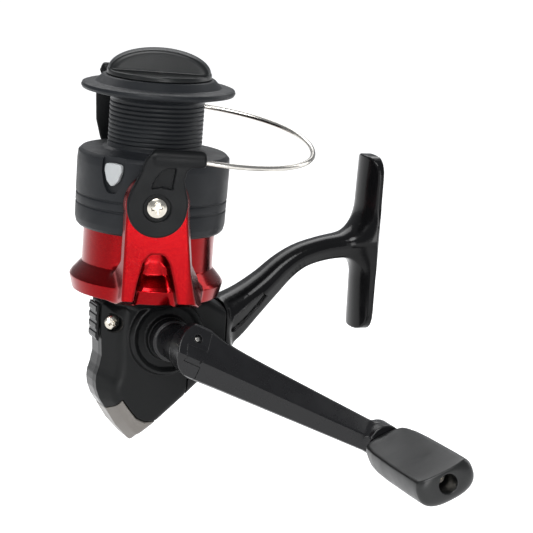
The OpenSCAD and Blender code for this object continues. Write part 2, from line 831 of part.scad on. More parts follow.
// Floor of the drag pocket and the hub round the shaft
module spool_core() {
    translate([0, 0, hub_bottom]) cylinder(r = hub_r, h = pocket_z - hub_bottom);
    translate([0, 0, pocket_z - 1.4]) cylinder(r = arbor_r - 1, h = 1.4);
}

// Clip frame: on the skirt's face, Z pointing out
module clip_place() {
    rotate([0, 0, -53]) translate([0, -skirt_r, flange_z - 6.4]) rotate([90, 0, 0]) children();
}

module line_clip() {
    color(grey) clip_place() translate([0, 0, -clip_t + 0.2]) linear_extrude(clip_t)
        polygon([[-2.7, 3], [2.7, 3], [2.7, -0.6], [0, -3.5], [-2.7, -0.6]]);
}

// Drag stack from the pocket floor up: felt, keyed, felt, eared, felt, keyed
function washer_z(i) = pocket_z + washer_gap + i * (washer_t + washer_gap);

module felt_washers() {
    color(white) for (i = [0, 2, 4]) ring_z(pocket_r - 0.6, shaft_r + 1, washer_z(i), washer_t);
}

module keyed_washers() {
    color(steel) for (i = [1, 5]) ring_z(pocket_r - 0.6, shaft_r + 0.02, washer_z(i), washer_t);
}

module eared_washers() {
    color(steel) ring_z(pocket_r - 0.05, shaft_r + 1, washer_z(3), washer_t);
}

module retaining_ring() {
    color(steel) translate([0, 0, washer_z(6) + 0.5]) rotate_extrude()
        translate([pocket_r - 0.46, 0]) circle(r = 0.45, $fn = 16);
}

module click_pawl() {
    foot_x0 = arbor_r - 1.3;
    low = seat_z + seat_t + 0.2;
    color(steel) {
        translate([foot_x0, -1.5, low]) cube([2.4, 3, flange_z - 2.6 - low]);
        translate([click_r + 0.4, -0.6, low]) cube([foot_x0 - click_r, 1.2, click_t - 0.4]);
    }
}

// Drag knob with a finger bar between two scoops
module drag_knob() {
    r = drag_knob_d / 2;
    rim = 1.6;
    bowl = 3.4;
    bowl_y = drag_bar_w / 2 + bowl;
    stack = washer_z(6);
    color(black) difference() {
        union() {
            rotate_extrude() polygon(concat([[0, knob_z], [r - 0.6, knob_z], [r, knob_z + 0.6]],
                [for (i = [0:10]) [r * cos(i * 9), knob_z + rim + (drag_knob_h - rim) * sin(i * 9)]]));
            translate([0, 0, stack + 0.03]) cylinder(r = pocket_r - 1.6, h = knob_z + 0.1 - stack);
        }
        rotate([0, 0, -20]) for (a = [0, 180]) rotate([0, 0, a]) translate([0, bowl_y, knob_z + rim + 0.2]) {
            translate([0, 0, bowl]) rotate([0, 90, 0]) cylinder(r = bowl, h = 60, center = true);
            translate([-30, 0, 0]) cube([60, 60, 30]);
            translate([-30, -bowl, bowl]) cube([60, 60, 30]);
        }
        translate([0, 0, stack - 1]) cylinder(r = drag_nut_r + 0.05, h = knob_z + 2 - stack);
        translate([0, 0, stack - 1]) cylinder(r = shaft_r + run_gap + 0.4, h = knob_z + 5.4 - stack);
    }
}

module drag_nut() {
    color(brass) translate([0, 0, knob_z + 1 - drag_nut_h]) difference() {
        cylinder(r = drag_nut_r, h = drag_nut_h);
        translate([0, 0, -1]) cylinder(r = shaft_r + run_gap, h = 10);
    }
}

module drag_spring() {
    turns = 2;
    z0 = washer_z(6) + 0.4;
    rise = (knob_z + 0.6 - drag_nut_h - z0) / turns;
    path = [for (i = [0:8 * turns]) [3.6 * cos(45 * i), 3.6 * sin(45 * i), z0 + rise * i / 8]];
    color(steel) skin(tube_rings(path, 0.35, 6));
}

// Rotor

module ear_outline() {
    translate([0.2, pivot_z]) circle(r = arm_r + 0.5);
    polygon([[-arm_r, pivot_z], [-arm_r + 0.2, rim_bottom], [arm_r + 5, rim_bottom],
        [arm_r + 2.7, rim_bottom + 10.7], [arm_r + 1, pivot_z - 5], [arm_r + 0.6, pivot_z]]);
}

module ear_arch() {
    translate([1.2, rim_bottom + 13.1]) circle(r = 2.7);
    polygon([[-5.4, rim_bottom - 1], [8.9, rim_bottom - 1], [6.4, rim_bottom + 6.7], [3.7, rim_bottom + 14.2],
        [-1.3, rim_bottom + 14.2], [-3.9, rim_bottom + 6.7]]);
}

// One ear in front, standing out from the drum on two legs
module ear() {
    difference() {
        intersection() {
            slab_y(-ear_out, -10) ear_outline();
            rotate([90, 0, 90]) translate([0, 0, -30]) linear_extrude(60)
                polygon([[-rotor_in - 0.6, rim_bottom], [-rim_r + 1, rim_bottom], [-ear_out, rim_bottom + 1.6],
                    [-ear_out, 100], [-ear_in, 100], [-ear_in, skirt_bottom - stroke / 2 - 0.6],
                    [-rotor_in - 0.6, rim_top]]);
            cylinder(r = ear_corner_r, h = 100);
        }
        slab_y(-60, 0) ear_arch();
    }
    bar_y(0, pivot_z, -head_seat, -ear_in, post_r);
}

module rotor() {
    flare = rim_r - 1.9;
    color(red) turned() difference() {
        union() {
            rotate_extrude($fn = 96) polygon([[tube_r + 0.02, disc_z], [rotor_in, disc_z], [rotor_in, rim_top],
                [flare, rim_z], [flare - 0.4, rim_bottom], [rim_r - 1, rim_bottom], [rim_r, rim_z],
                [rim_r - 0.5, rim_z + 0.8], [rotor_r + 0.5, rim_top - 0.4], [rotor_r, rim_top],
                [rotor_r, rotor_top], [rotor_in, rotor_top], [rotor_in, nut_z], [tube_r + 0.02, nut_z]]);
            for (a = [0, 180]) rotate([0, 0, a]) ear();
        }
        for (a = [0, 180]) rotate([0, 0, a]) bar_y(0, pivot_z, -60, -ear_in + 1, 1.05);
        spring_pocket();
        translate([5.2, 0, nut_z - 2]) cylinder(r = 0.75, h = 5);
    }
}

// Pocket in the inner face of the front ear
module spring_pocket() {
    translate([spring_x - 1.3, -ear_out + 0.5, spring_z0 - 0.4]) cube([2.6, ear_t, spring_len + 0.8]);
}

module bail_spring() {
    turns = 10;
    path = [for (i = [0:8 * turns]) [coil_r * cos(45 * i), coil_r * sin(45 * i), spring_len * i / (8 * turns)]];
    color(steel) turned() translate([spring_x, -ear_out + 0.5 + coil_r + coil_wire + 0.1, spring_z0])
        skin(tube_rings(path, coil_wire, 6));
}

module ear_cover() {
    color(red) turned() translate([spring_x - 1.25, -ear_in - 0.5, spring_z0 - 0.35])
        cube([2.5, 0.5, spring_len + 0.7]);
}

module rotor_nut() {
    color(brass) translate([0, 0, nut_z]) difference() {
        cylinder(r = 4.9, h = nut_h - 0.4, $fn = 6);
        translate([0, 0, -1]) cylinder(r = tube_r + 0.02, h = 10);
        rotate([0, 0, rotor_angle]) translate([5.2, 0, -1]) cylinder(r = 1.5, h = 10);
    }
}

module nut_lock_screw() {
    color(steel) turned() translate([5.2, 0, nut_z]) screw(1.3, 1, 0.72, 1.6);
}

module pivot_screws() {
    color(steel) turned() for (a = [0, 180]) rotate([0, 0, a]) translate([0, -head_seat, pivot_z])
        rotate([90, 0, 0]) screw(post_r + 0.55, 1.2, 1, head_seat - ear_in - 0.6);
}

// Bail: both arms, the wire and the line roller

module arm_bore() {
    bar_y(0, pivot_z, -60, 0, post_r + run_gap);
    bar_y(0, pivot_z, -60, -head_seat, 4.1);
}

module bail_arm() {
    end_x = wire_side - 0.4;
    color(black) turned() difference() {
        union() {
            bar_y(0, pivot_z, -arm_out, -arm_in, arm_r);
            slab_y(-arm_out, -arm_in) polygon([[-arm_r, pivot_z], [-arm_r + 0.9, pivot_z + 5],
                [-5.6, pivot_z + 9.6], [-4.2, pivot_z + 14], [-1.6, wire_z + 3], [end_x, wire_z + 3.2],
                [end_x, wire_z - 1.4], [9.3, wire_z - 1.6], [7.9, pivot_z + 10.8], [7.4, pivot_z + 8.4],
                [arm_r, pivot_z + 3.6], [arm_r, pivot_z]]);
        }
        arm_bore();
        translate([wire_side - 6, -wire_a, wire_z]) rotate([0, 90, 0]) cylinder(r = wire_r + 0.02, h = 10);
        slab_y(-60, -arm_out + 0.8) polygon([[-2.3, pivot_z + 5.5], [-0.7, pivot_z + 9], [1.5, wire_z - 2.3],
            [4.9, wire_z - 1.5], [4.3, pivot_z + 5.4]]);
    }
}

// Roller frame: on the wire's rear end, X along the roller axis towards the roller arm
module on_roller() {
    translate([wire_side, wire_a, back_z]) rotate([0, roller_slope - 180, 0]) children();
}

// Round bar along the roller axis from d0 to d1
module bar_roller(d0, d1, r) {
    on_roller() translate([d0, 0, 0]) rotate([0, 90, 0]) cylinder(r = r, h = d1 - d0);
}

module roller_arm() {
    left = -wire_side - 3.6;
    top = pivot_z + 34;
    color(black) turned() difference() {
        union() {
            bar_y(0, pivot_z, arm_in, arm_out, arm_r);
            slab_y(arm_in, arm_out) polygon([[-arm_r, pivot_z], [-arm_r - 3.4, pivot_z + 4.6],
                [left + 2, pivot_z + 11], [left + 0.5, pivot_z + 16.4], [left, pivot_z + 24],
                [left + 0.2, pivot_z + 30], [left + 1.6, top], [left + 6, top], [left + 6, pivot_z + 20],
                [-4, pivot_z + 13], [arm_r, pivot_z + 2], [arm_r, pivot_z]]);
            bar_roller(boss_at, boss_at + boss_len, boss_r);
        }
        bar_y(0, pivot_z, 0, 60, post_r + run_gap);
        bar_y(0, pivot_z, head_seat, 60, 4.1);
        bar_roller(boss_at - 8, boss_at, boss_r + 0.6);
        bar_roller(boss_at - 1, boss_at + boss_len + 1, 1.05);
        bar_roller(boss_at + boss_len - 1.4, boss_at + boss_len + 8, 2.5);
    }
}

// Point of the wire loop at turn t, from the front arm at 0 to the rear end at 180
function wire_point(t) = let (back = wire_a * sgn_pow(cos(t), 2 / wire_power),
        out = wire_reach * sgn_pow(abs(sin(t)), 2 / wire_power))
    [wire_side + out, -back, wire_z - wire_sag * out + wire_tilt * (wire_a - back)];

module bail_wire() {
    loop = [for (i = [0:wire_steps]) wire_point(180 * i / wire_steps)];
    slope = [-cos(roller_slope), 0, sin(roller_slope)];
    tail = [for (d = [4, 9, cone_at + 1]) [wire_side, wire_a, back_z] + d * slope];
    path = concat([[wire_side - 5.6, -wire_a, wire_z]], loop, tail);
    color(steel) turned() difference() {
        union() {
            skin(tube_rings(path, wire_r, 8));
            on_roller() translate([cone_at, 0, 0]) rotate([0, 90, 0])
                cylinder(r1 = wire_r + 0.3, r2 = roller_r - 0.5, h = roller_at - cone_at - 0.1);
        }
        bar_roller(roller_at - 2.6, roller_at + 1, 1.05);
    }
}

module roller_screw() {
    color(steel) turned() on_roller() translate([boss_at + boss_len - 1.4, 0, 0]) rotate([0, 90, 0])
        screw(2.3, 1.3, 1, boss_len - 1.4 + roller_w + 2.6);
}

module roller_bush() {
    color(brass) turned() difference() {
        bar_roller(roller_at - 0.1, boss_at, roller_bore);
        bar_roller(0, 60, 1.02);
    }
}

module line_roller() {
    color(steel) turned() on_roller() translate([roller_at + 0.15, 0, 0]) rotate([0, 90, 0])
        rotate_extrude() polygon([[roller_bore + run_gap, 0], [roller_r, 0], [roller_r, 0.8],
            [roller_r - 0.9, roller_w / 2 - 0.4], [roller_r - 0.9, roller_w / 2 + 0.4],
            [roller_r, roller_w - 0.8], [roller_r, roller_w], [roller_bore + run_gap, roller_w]]);
}

// Handle

// Section of the arm across its length: ridge in front, flat behind
function arm_section(y, depth, up, down) = [[-y, -down * 0.75], [-y, up * 0.8], [-y - depth * 0.3, up],
    [-y - depth * 0.42, up * 0.95], [-y - depth, -down * 0.1], [-y - depth * 0.82, -down * 0.92],
    [-y - depth * 0.6, -down]];

module head_bar(u0, u1) {
    skin([for (u = [u0, u1]) [for (q = arm_section(head_y, head_depth, head_up, head_down)) [u, q.x, q.y]]]);
}

module handle_shank() {
    color(black) on_handle() difference() {
        union() {
            intersection() {
                head_bar(head_u - head_r - 1, seam_u - move_gap);
                bar_y(head_u, head_n, -60, 0, head_r);
            }
            bar_y(0, 0, -head_y - 0.4, -boss2_y - move_gap, 5.4);
            bar_y(0, 0, -boss2_y - move_gap - 3.4, -boss2_y - move_gap, 6.4);
            bar_y(0, 0, -boss2_y - 1, boss_y + 2.6, rod_r);
        }
        translate([pin_u - tongue_r - 0.35, -60, -tongue_h / 2 - 0.15])
            cube([40, 60 - pin_y + tongue_r + 0.35, tongue_h + 0.3]);
        translate([pin_u, -pin_y, -40]) cylinder(r = pin_r, h = 80);
        translate([pin_u, -pin_y, -40]) difference() {
            translate([0, -40, 0]) cube([40, 40, 80]);
            translate([0, 0, -1]) cylinder(r = seam_u - pin_u - move_gap, h = 82);
        }
    }
}

module fold_pin() {
    color(steel) on_handle() translate([pin_u, -pin_y, -head_down + 1.3]) cylinder(r = pin_r - 0.01,
        h = 2 * head_down - 4);
}

module handle_screw_cap() {
    back = boss_y + move_gap;
    color(black) difference() {
        union() {
            bar_y(axle_x, 0, back, back + cap_h, cap_r);
            bar_y(axle_x, 0, back + cap_h - 0.1, back + cap_h + cap_step_h, cap_step_r);
        }
        bar_y(axle_x, 0, 0, boss_y + 2.7, rod_r + 0.02);
        for (i = [0:11]) translate([axle_x, back + 2, 0]) rotate([0, 30 * i, 0]) translate([cap_r + 0.4, 0, 0])
            rotate([90, 0, 0]) cylinder(r = 0.9, h = 10, center = true);
    }
}

module handle_arm() {
    steps = 8;
    color(black) on_handle() difference() {
        union() {
            skin([for (i = [0:steps]) let (k = i / steps, u = seam_u + (handle_len - 2 - seam_u) * k,
                    out = arm_back + arm_splay * pow(k, 1.3), up = head_down - 2.9 * k
                        + (head_up - head_down) * max(0, 1 - steps * k))
                [for (q = arm_section(head_y + out, head_depth - arm_back, up, head_down - 1.9 * k))
                    [u, q.x, q.y]]]);
            bar_y(handle_len, 0, -tip_y, -tip_y + head_depth, tip_r);
            translate([pin_u, -pin_y, -tongue_h / 2]) cylinder(r = tongue_r, h = tongue_h);
            translate([pin_u, -pin_y - tongue_r, -tongue_h / 2]) cube([seam_u - pin_u + 0.6, 2 * tongue_r,
                tongue_h]);
        }
        translate([pin_u, -pin_y, -40]) cylinder(r = pin_r + run_gap, h = 80);
        bar_y(handle_len, 0, -tip_y - 1, -tip_y + head_depth - 1.5, spindle_r);
    }
}

module knob_spindle() {
    color(steel) on_handle() difference() {
        bar_y(handle_len, 0, -knob_y - knob_len + 8.4, -tip_y + head_depth - 1.6, spindle_r - 0.01);
        bar_y(handle_len, 0, -200, -knob_y - knob_len + 14, 1.02);
    }
}

module knob_screw() {
    color(steel) on_handle() translate([handle_len, -knob_y - knob_len + 8.4, 0]) rotate([90, 0, 0])
        screw(2.5, 1.4, 1, 5);
}

// Paddle knob: round neck, wide flat end
module handle_knob() {
    sides = 24;
    wide = knob_half_w;
    thick = knob_half_t;
    shape = [[0, 4.5, 4.5, 2], [0.08, 4.6, 4.6, 2], [0.18, wide * 0.68, thick * 0.9, 2.1],
        [0.34, wide * 0.87, thick * 0.96, 2.3], [0.6, wide * 0.97, thick * 0.95, 2.5],
        [0.84, wide, thick, 2.6], [0.95, wide * 0.95, thick * 0.95, 2.5], [1, wide * 0.8, thick * 0.76, 2.4]];
    color(black) on_handle() difference() {
        translate([handle_len, -knob_y, 0]) rotate([90, -knob_lean - handle_angle, 0])
            skin([for (s = shape) [for (q = oval(sides, s[1], s[2], s[3])) [q.x, q.y, s[0] * knob_len]]]);
        translate([handle_len, -knob_y, 0]) rotate([90, -knob_lean - handle_angle, 0])
            translate([-30, thick * 0.7, 5]) cube([60, 20, 60]);
        bar_y(handle_len, 0, -200, 0, spindle_r + run_gap);
        bar_y(handle_len, 0, -200, -knob_y - knob_len + 8.7, 2.9);
    }
}

place() body_frame();
place() side_cover();
place() tail_guard();
place() cover_screws();
place() pinion_bearing();
place() pinion_bush();
place() drive_bushes();
place() clutch_housing();
place() clutch_rollers();
place() guide_rod();
place() cross_screw();
place() anti_reverse_switch();
place() drive_gear();
place() handle_shank();
place() fold_pin();
place() handle_screw_cap();
place() handle_arm();
place() knob_spindle();
place() knob_screw();
place() handle_knob();
place() pinion_gear();
place() clutch_sleeve();
place() rotor();
place() rotor_nut();
place() nut_lock_screw();
place() bail_spring();
place() ear_cover();
place() pivot_screws();
place() bail_arm();
place() roller_arm();
place() bail_wire();
place() roller_screw();
place() roller_bush();
place() line_roller();
place() cross_gear();
place() main_shaft();
place() cross_slider();
place() slider_screw();
place() spool_seat();
place() seat_pin();
place() click_gear();
place() seat_washer();
place() keyed_washers();
place() spool();
place() line_clip();
place() felt_washers();
place() eared_washers();
place() retaining_ring();
place() click_pawl();
place() drag_knob();
place() drag_nut();
place() drag_spring();
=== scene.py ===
import json
import math
import bmesh
import bpy
import numpy as np
from mathutils import Matrix, Vector


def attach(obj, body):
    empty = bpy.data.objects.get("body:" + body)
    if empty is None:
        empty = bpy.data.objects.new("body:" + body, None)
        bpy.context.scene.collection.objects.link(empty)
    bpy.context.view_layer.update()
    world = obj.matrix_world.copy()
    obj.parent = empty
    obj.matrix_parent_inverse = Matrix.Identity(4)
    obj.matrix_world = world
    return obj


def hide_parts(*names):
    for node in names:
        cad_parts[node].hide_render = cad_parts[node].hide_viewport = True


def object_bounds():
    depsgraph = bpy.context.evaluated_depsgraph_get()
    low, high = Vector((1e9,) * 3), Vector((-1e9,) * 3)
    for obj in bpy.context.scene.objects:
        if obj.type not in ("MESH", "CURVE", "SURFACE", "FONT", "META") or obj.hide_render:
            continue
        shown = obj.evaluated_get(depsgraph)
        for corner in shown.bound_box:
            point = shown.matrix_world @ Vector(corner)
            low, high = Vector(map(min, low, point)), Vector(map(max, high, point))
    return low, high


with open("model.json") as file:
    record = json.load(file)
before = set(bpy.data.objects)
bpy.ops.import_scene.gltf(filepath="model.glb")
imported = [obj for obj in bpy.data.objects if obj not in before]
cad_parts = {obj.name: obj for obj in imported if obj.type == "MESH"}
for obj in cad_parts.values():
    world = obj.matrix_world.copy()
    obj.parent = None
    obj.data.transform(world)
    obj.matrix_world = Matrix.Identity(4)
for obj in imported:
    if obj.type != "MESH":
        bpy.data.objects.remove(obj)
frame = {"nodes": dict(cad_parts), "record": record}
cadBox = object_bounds()
print("frame loaded")

# The reel frame, in millimetres: Z is the spool axis, z = 0 at the handle axis, +X to the foot, handle on -Y
footSeat = np.array([72.7, 0.0, 28.0])
rotorTurn = math.radians(-16.6)
handleTurn = math.radians(23.3)
handleAxis = np.array([4.1, 0.0, 0.0])
pivotHeight = 42.6
coarse = 1.0


# Camera, floor and light

def makeCamera():
    s = {"azimuth": -23.0, "elevation": 11.3, "roll": 4.35, "distance": 798.14, "lens": 175.61,
         "sensor": 36.0, "near": 0.05, "target": (39.14, 0.0, 19.06)}
    a, e, r = (math.radians(s[k]) for k in ("azimuth", "elevation", "roll"))
    back = Vector((math.sin(a) * math.cos(e), -math.cos(a) * math.cos(e), math.sin(e)))
    flat = Vector((math.cos(a), math.sin(a), 0.0))
    rise = back.cross(flat)
    right = math.cos(r) * flat + math.sin(r) * rise
    up = math.cos(r) * rise - math.sin(r) * flat
    data = bpy.data.cameras.new("camera")
    data.lens = s["lens"]
    data.sensor_width = s["sensor"]
    data.clip_start = s["near"]
    camera = bpy.data.objects.new("camera", data)
    bpy.context.scene.collection.objects.link(camera)
    place = Vector((np.array(s["target"]) - footSeat) / 1000) + back * (s["distance"] / 1000)
    turn = Matrix((right, up, back)).transposed().to_4x4()
    camera.matrix_world = Matrix.Translation(place) @ turn
    bpy.context.scene.camera = camera


def makeLight(name, place, aim, size, power):
    data = bpy.data.lights.new(name, "AREA")
    data.shape = "RECTANGLE"
    data.size, data.size_y = size
    data.energy = power
    light = bpy.data.objects.new(name, data)
    bpy.context.scene.collection.objects.link(light)
    light.location = place
    light.rotation_euler = (Vector(aim) - Vector(place)).to_track_quat("-Z", "Y").to_euler()


def addNode(tree, kind, inputs=None, **settings):
    node = tree.nodes.new(kind)
    for key, value in settings.items():
        setattr(node, key, value)
    for key, value in (inputs or {}).items():
        if isinstance(value, bpy.types.NodeSocket):
            tree.links.new(value, node.inputs[key])
        else:
            node.inputs[key].default_value = value
    return node


def tone(text):
    parts = [int(text[i:i + 2], 16) / 255 for i in (1, 3, 5)]
    return [c / 12.92 if c <= 0.04045 else ((c + 0.055) / 1.055) ** 2.4 for c in parts] + [1.0]


def makeStudio():
    s = {"ambient": 0.35, "drop": 0.07, "span": 60.0, "rough": 0.9, "glow": 0.5, "aim": (-0.02, 0.0, 0.0),
         "sun": 1.5, "sunAngle": math.radians(30), "sunFall": (0.35, 0.5, -0.8)}
    # Each lamp: place from the aim, size, power
    lamps = {"key": ((-0.35, -0.55, 0.75), (0.4, 0.4), 2.2),
             "front": ((-0.16, -0.93, -0.02), (0.3, 0.7), 4.2),
             "right": ((0.8, 0.1, 0.35), (0.3, 0.7), 1.8),
             "left": ((-0.8, -0.2, 0.1), (0.2, 0.9), 0.8),
             "top": ((0.1, 0.7, 0.6), (0.9, 0.4), 3.0)}
    world = bpy.data.worlds.new("studio")
    bpy.context.scene.world = world
    world.use_nodes = True
    world.node_tree.nodes["Background"].inputs["Color"].default_value = tone("#eef1f6")
    world.node_tree.nodes["Background"].inputs["Strength"].default_value = s["ambient"]
    bpy.context.scene.view_settings.view_transform = "Standard"
    low, high = cadBox
    middle = (Vector(low) + Vector(high)) / 2
    bpy.ops.mesh.primitive_plane_add(size=s["span"], location=(middle.x, middle.y, low[2] - s["drop"]))
    floor = bpy.context.object
    floor.name = "floor"
    paint = bpy.data.materials.new("pale floor")
    paint.use_nodes = True
    tree = paint.node_tree
    shader = tree.nodes["Principled BSDF"]
    shader.inputs["Base Color"].default_value = tone("#ebebeb")
    shader.inputs["Roughness"].default_value = s["rough"]
    shader.inputs["Emission Color"].default_value = tone("#ffffff")
    # The floor glows where it is seen, and lights nothing
    ray = addNode(tree, "ShaderNodeLightPath")
    seen = addNode(tree, "ShaderNodeMath", {0: ray.outputs["Is Camera Ray"], 1: ray.outputs["Is Glossy Ray"]},
                   operation="MAXIMUM")
    glow = addNode(tree, "ShaderNodeMath", {0: seen.outputs[0], 1: s["glow"]}, operation="MULTIPLY")
    tree.links.new(glow.outputs[0], shader.inputs["Emission Strength"])
    floor.data.materials.append(paint)
    data = bpy.data.lights.new("sun", "SUN")
    data.energy = s["sun"]
    data.angle = s["sunAngle"]
    sun = bpy.data.objects.new("sun", data)
    bpy.context.scene.collection.objects.link(sun)
    sun.rotation_euler = Vector(s["sunFall"]).to_track_quat("-Z", "Y").to_euler()
    aim = middle + Vector(s["aim"])
    for name, (place, size, power) in lamps.items():
        makeLight(name, aim + Vector(place), aim, size, power)


makeCamera()
makeStudio()
print("camera and studio ready")


# Materials

def mixed(tree, factor, first, second):
    # Inputs 6 and 7 and output 2 of this node carry colours
    node = addNode(tree, "ShaderNodeMix", {0: factor, 6: first, 7: second}, data_type="RGBA")
    return node.outputs[2]


def mapped(tree, value, span, least, most):
    node = addNode(tree, "ShaderNodeMapRange", {"Value": value, 1: span[0], 2: span[1], 3: least, 4: most})
    return node.outputs[0]


def makeMaterial(name, base, shade, rough, spread=0.08, grain=0.25, depth=0.01, patch=6.0, metal=0.0,
                 coat=0.0, fleck=None, gloss=0.5):
    # base and shade are the two colours of slow variation over patch mm; grain and depth, in mm, are the
    # moulded texture; fleck adds bright metal grains of that size in mm; gloss is the specular level
    s = {"fleckTone": "#ff4030", "fleckSpan": (0.55, 1.0), "fleckTop": 0.2, "wearSpan": (0.3, 0.7),
         "leastRough": 0.02, "coatRough": 0.04}
    made = bpy.data.materials.new(name)
    made.use_nodes = True
    tree = made.node_tree
    shader = tree.nodes["Principled BSDF"]
    where = addNode(tree, "ShaderNodeTexCoord").outputs["Object"]
    slow = addNode(tree, "ShaderNodeTexNoise", {"Vector": where, "Scale": 1000 / patch, "Detail": 4.0})
    fine = addNode(tree, "ShaderNodeTexNoise", {"Vector": where, "Scale": 1000 / grain, "Detail": 2.0})
    paint = mixed(tree, slow.outputs["Fac"], tone(base), tone(shade))
    if fleck:
        cells = addNode(tree, "ShaderNodeTexVoronoi", {"Vector": where, "Scale": 1000 / fleck})
        lift = mapped(tree, cells.outputs["Color"], s["fleckSpan"], 0.0, s["fleckTop"])
        paint = mixed(tree, lift, paint, tone(s["fleckTone"]))
    tree.links.new(paint, shader.inputs["Base Color"])
    least = max(rough - spread, s["leastRough"])
    wear = mapped(tree, slow.outputs["Fac"], s["wearSpan"], least, rough + spread)
    tree.links.new(wear, shader.inputs["Roughness"])
    bump = addNode(tree, "ShaderNodeBump", {"Height": fine.outputs["Fac"], "Distance": depth / 1000,
                                            "Strength": 1.0})
    tree.links.new(bump.outputs[0], shader.inputs["Normal"])
    shader.inputs["Metallic"].default_value = metal
    shader.inputs["Specular IOR Level"].default_value = gloss
    shader.inputs["Coat Weight"].default_value = coat
    shader.inputs["Coat Roughness"].default_value = s["coatRough"]
    return made


# Fine-grained moulded nylon: soft sheen, no mirror highlights
mattePlastic = makeMaterial("moulded black nylon", "#1d1f22", "#191b1e", 0.44, 0.06, 0.22, 0.012, gloss=0.22)
# Drag knob: smoother nylon with a satin sheen
dragPlastic = makeMaterial("satin black nylon", "#131516", "#111313", 0.36, 0.04, 0.3, 0.006, gloss=0.32)
# Bail arms: the same nylon with more black in it
armPlastic = makeMaterial("deep black nylon", "#101112", "#131415", 0.4, 0.06, 0.2, 0.014, gloss=0.13)
# Polished moulding of the stem: sharp highlights over deep black
glossPlastic = makeMaterial("polished black moulding", "#0b0b0c", "#0e0e0f", 0.18, 0.05, 0.9, 0.004,
                            gloss=0.2)
# Side cover: a shade greyer and duller than the stem
coverPlastic = makeMaterial("satin black moulding", "#111213", "#151616", 0.34, 0.06, 0.35, 0.008, gloss=0.16)
# Lacquered metal flake: deep red under a clear coat
redLacquer = makeMaterial("red flake lacquer", "#86000a", "#740007", 0.24, 0.05, 0.6, 0.002, 9.0,
                          metal=1.0, coat=0.12, fleck=0.12)
# Handle: satin paint on die-cast metal
handlePaint = makeMaterial("satin black paint", "#0f0f11", "#131315", 0.28, 0.06, 0.3, 0.006, gloss=0.36)
# Knob: soft-touch coat, dark grey
knobRubber = makeMaterial("soft-touch coating", "#161717", "#1b1c1c", 0.34, 0.05, 0.3, 0.006, gloss=0.42)
# Tail guard: silver-grey metallic paint
greyPaint = makeMaterial("silver-grey paint", "#7c7873", "#6e6a66", 0.34, 0.06, 0.3, 0.004, 5.0, 0.6)
# Line clip: plain pale moulding
clipPaint = makeMaterial("pale grey moulding", "#b4b7b8", "#a8abac", 0.4, 0.06, 0.3, 0.005)
# Drawn stainless wire: bright with fine draw marks
steelWire = makeMaterial("drawn steel", "#d8d5cf", "#bdb9b2", 0.2, 0.06, 0.3, 0.003, 2.0, 1.0)
# Nickel-plated screws with a warm tint
nickel = makeMaterial("nickel plate", "#dcd8d0", "#bdb6a8", 0.2, 0.08, 0.4, 0.004, 1.5, 1.0)
# Turned brass of the pinion, nuts and bushes
brass = makeMaterial("turned brass", "#c79a4a", "#a97d33", 0.3, 0.08, 0.3, 0.004, 2.0, 1.0)
# Die-cast face gear
castMetal = makeMaterial("die-cast zinc", "#9a9c9e", "#85878a", 0.42, 0.08, 0.3, 0.008, 3.0, 1.0)
# White acetal of the slider and small gears
acetal = makeMaterial("white acetal", "#dcd9cf", "#d1cdc1", 0.42, 0.06, 0.3, 0.005)
# Pressed felt of the drag washers
felt = makeMaterial("pressed felt", "#b5ad98", "#9c947f", 0.9, 0.05, 0.12, 0.05, 1.0)

slotLook = {"matte_black_plastic": mattePlastic, "gloss_black_plastic": glossPlastic,
            "satin_black_handle": handlePaint, "soft_grey_knob": knobRubber,
            "red_metallic": redLacquer, "grey_plastic": greyPaint,
            "steel_wire": steelWire, "nickel_screw": nickel, "brass": brass, "cast_gear_metal": castMetal,
            "white_plastic": acetal, "felt": felt}
for part in frame["record"]["subparts"]:
    node = frame["nodes"][part["node"]]
    node.data.materials.clear()
    node.data.materials.append(slotLook[part["material_slot"]])
print("materials ready")


# Distance fields: a negative value is inside, all in millimetres. A factor named slope keeps a field that is
# not a true distance from rising faster than one

def fillet(points, radius, steps=5):
    made = []
    count = len(points)
    for i in range(count):
        corner, before, after = (np.array(points[k % count], float) for k in (i, i - 1, i + 1))
        u, v = before - corner, after - corner
        longU, longV = np.hypot(*u), np.hypot(*v)
        u, v = u / longU, v / longV
        half = math.acos(np.clip(u @ v, -1, 1)) / 2
        reach = min(radius / math.tan(half), longU * 0.45, longV * 0.45)
        for t in np.linspace(0, 1, steps + 1):
            made.append(tuple((1 - t) ** 2 * (corner + u * reach) + 2 * t * (1 - t) * corner
                              + t * t * (corner + v * reach)))
    return made


def polyDist(u, v, points):
    nearest = np.full(u.shape, 1e9)
    inside = np.zeros(u.shape, bool)
    for (x0, y0), (x1, y1) in zip(points, points[1:] + points[:1]):
        ex, ey = x1 - x0, y1 - y0
        wu, wv = u - x0, v - y0
        t = np.clip((wu * ex + wv * ey) / (ex * ex + ey * ey + 1e-12), 0, 1)
        nearest = np.minimum(nearest, (wu - t * ex) ** 2 + (wv - t * ey) ** 2)
        if y0 != y1:
            inside ^= ((y0 > v) != (y1 > v)) & (wu < ex * wv / ey)
    return np.where(inside, -1, 1) * np.sqrt(nearest)


def both(a, b, edge):
    # Where two distances meet, with the edge rounded
    a, b = a + edge, b + edge
    return np.minimum(np.maximum(a, b), 0) + np.hypot(np.maximum(a, 0), np.maximum(b, 0)) - edge


def extrude(flat, w, low, high, edge=0.0):
    return both(flat, np.abs(w - (low + high) / 2) - (high - low) / 2, edge)


def bar(off, w, size, edge=0.0):
    # Round bar at a distance off from its axis; the size is its radius, low end and high end
    return extrude(off - size[0], w, size[1], size[2], edge)


def joined(a, b, k):
    # One shape and another, with a fillet of about k between them; cut takes the second away
    h = np.maximum(k - np.abs(a - b), 0) / k
    return np.minimum(a, b) - h * h * k / 4


def cut(a, b, k):
    return -joined(-a, b, k)


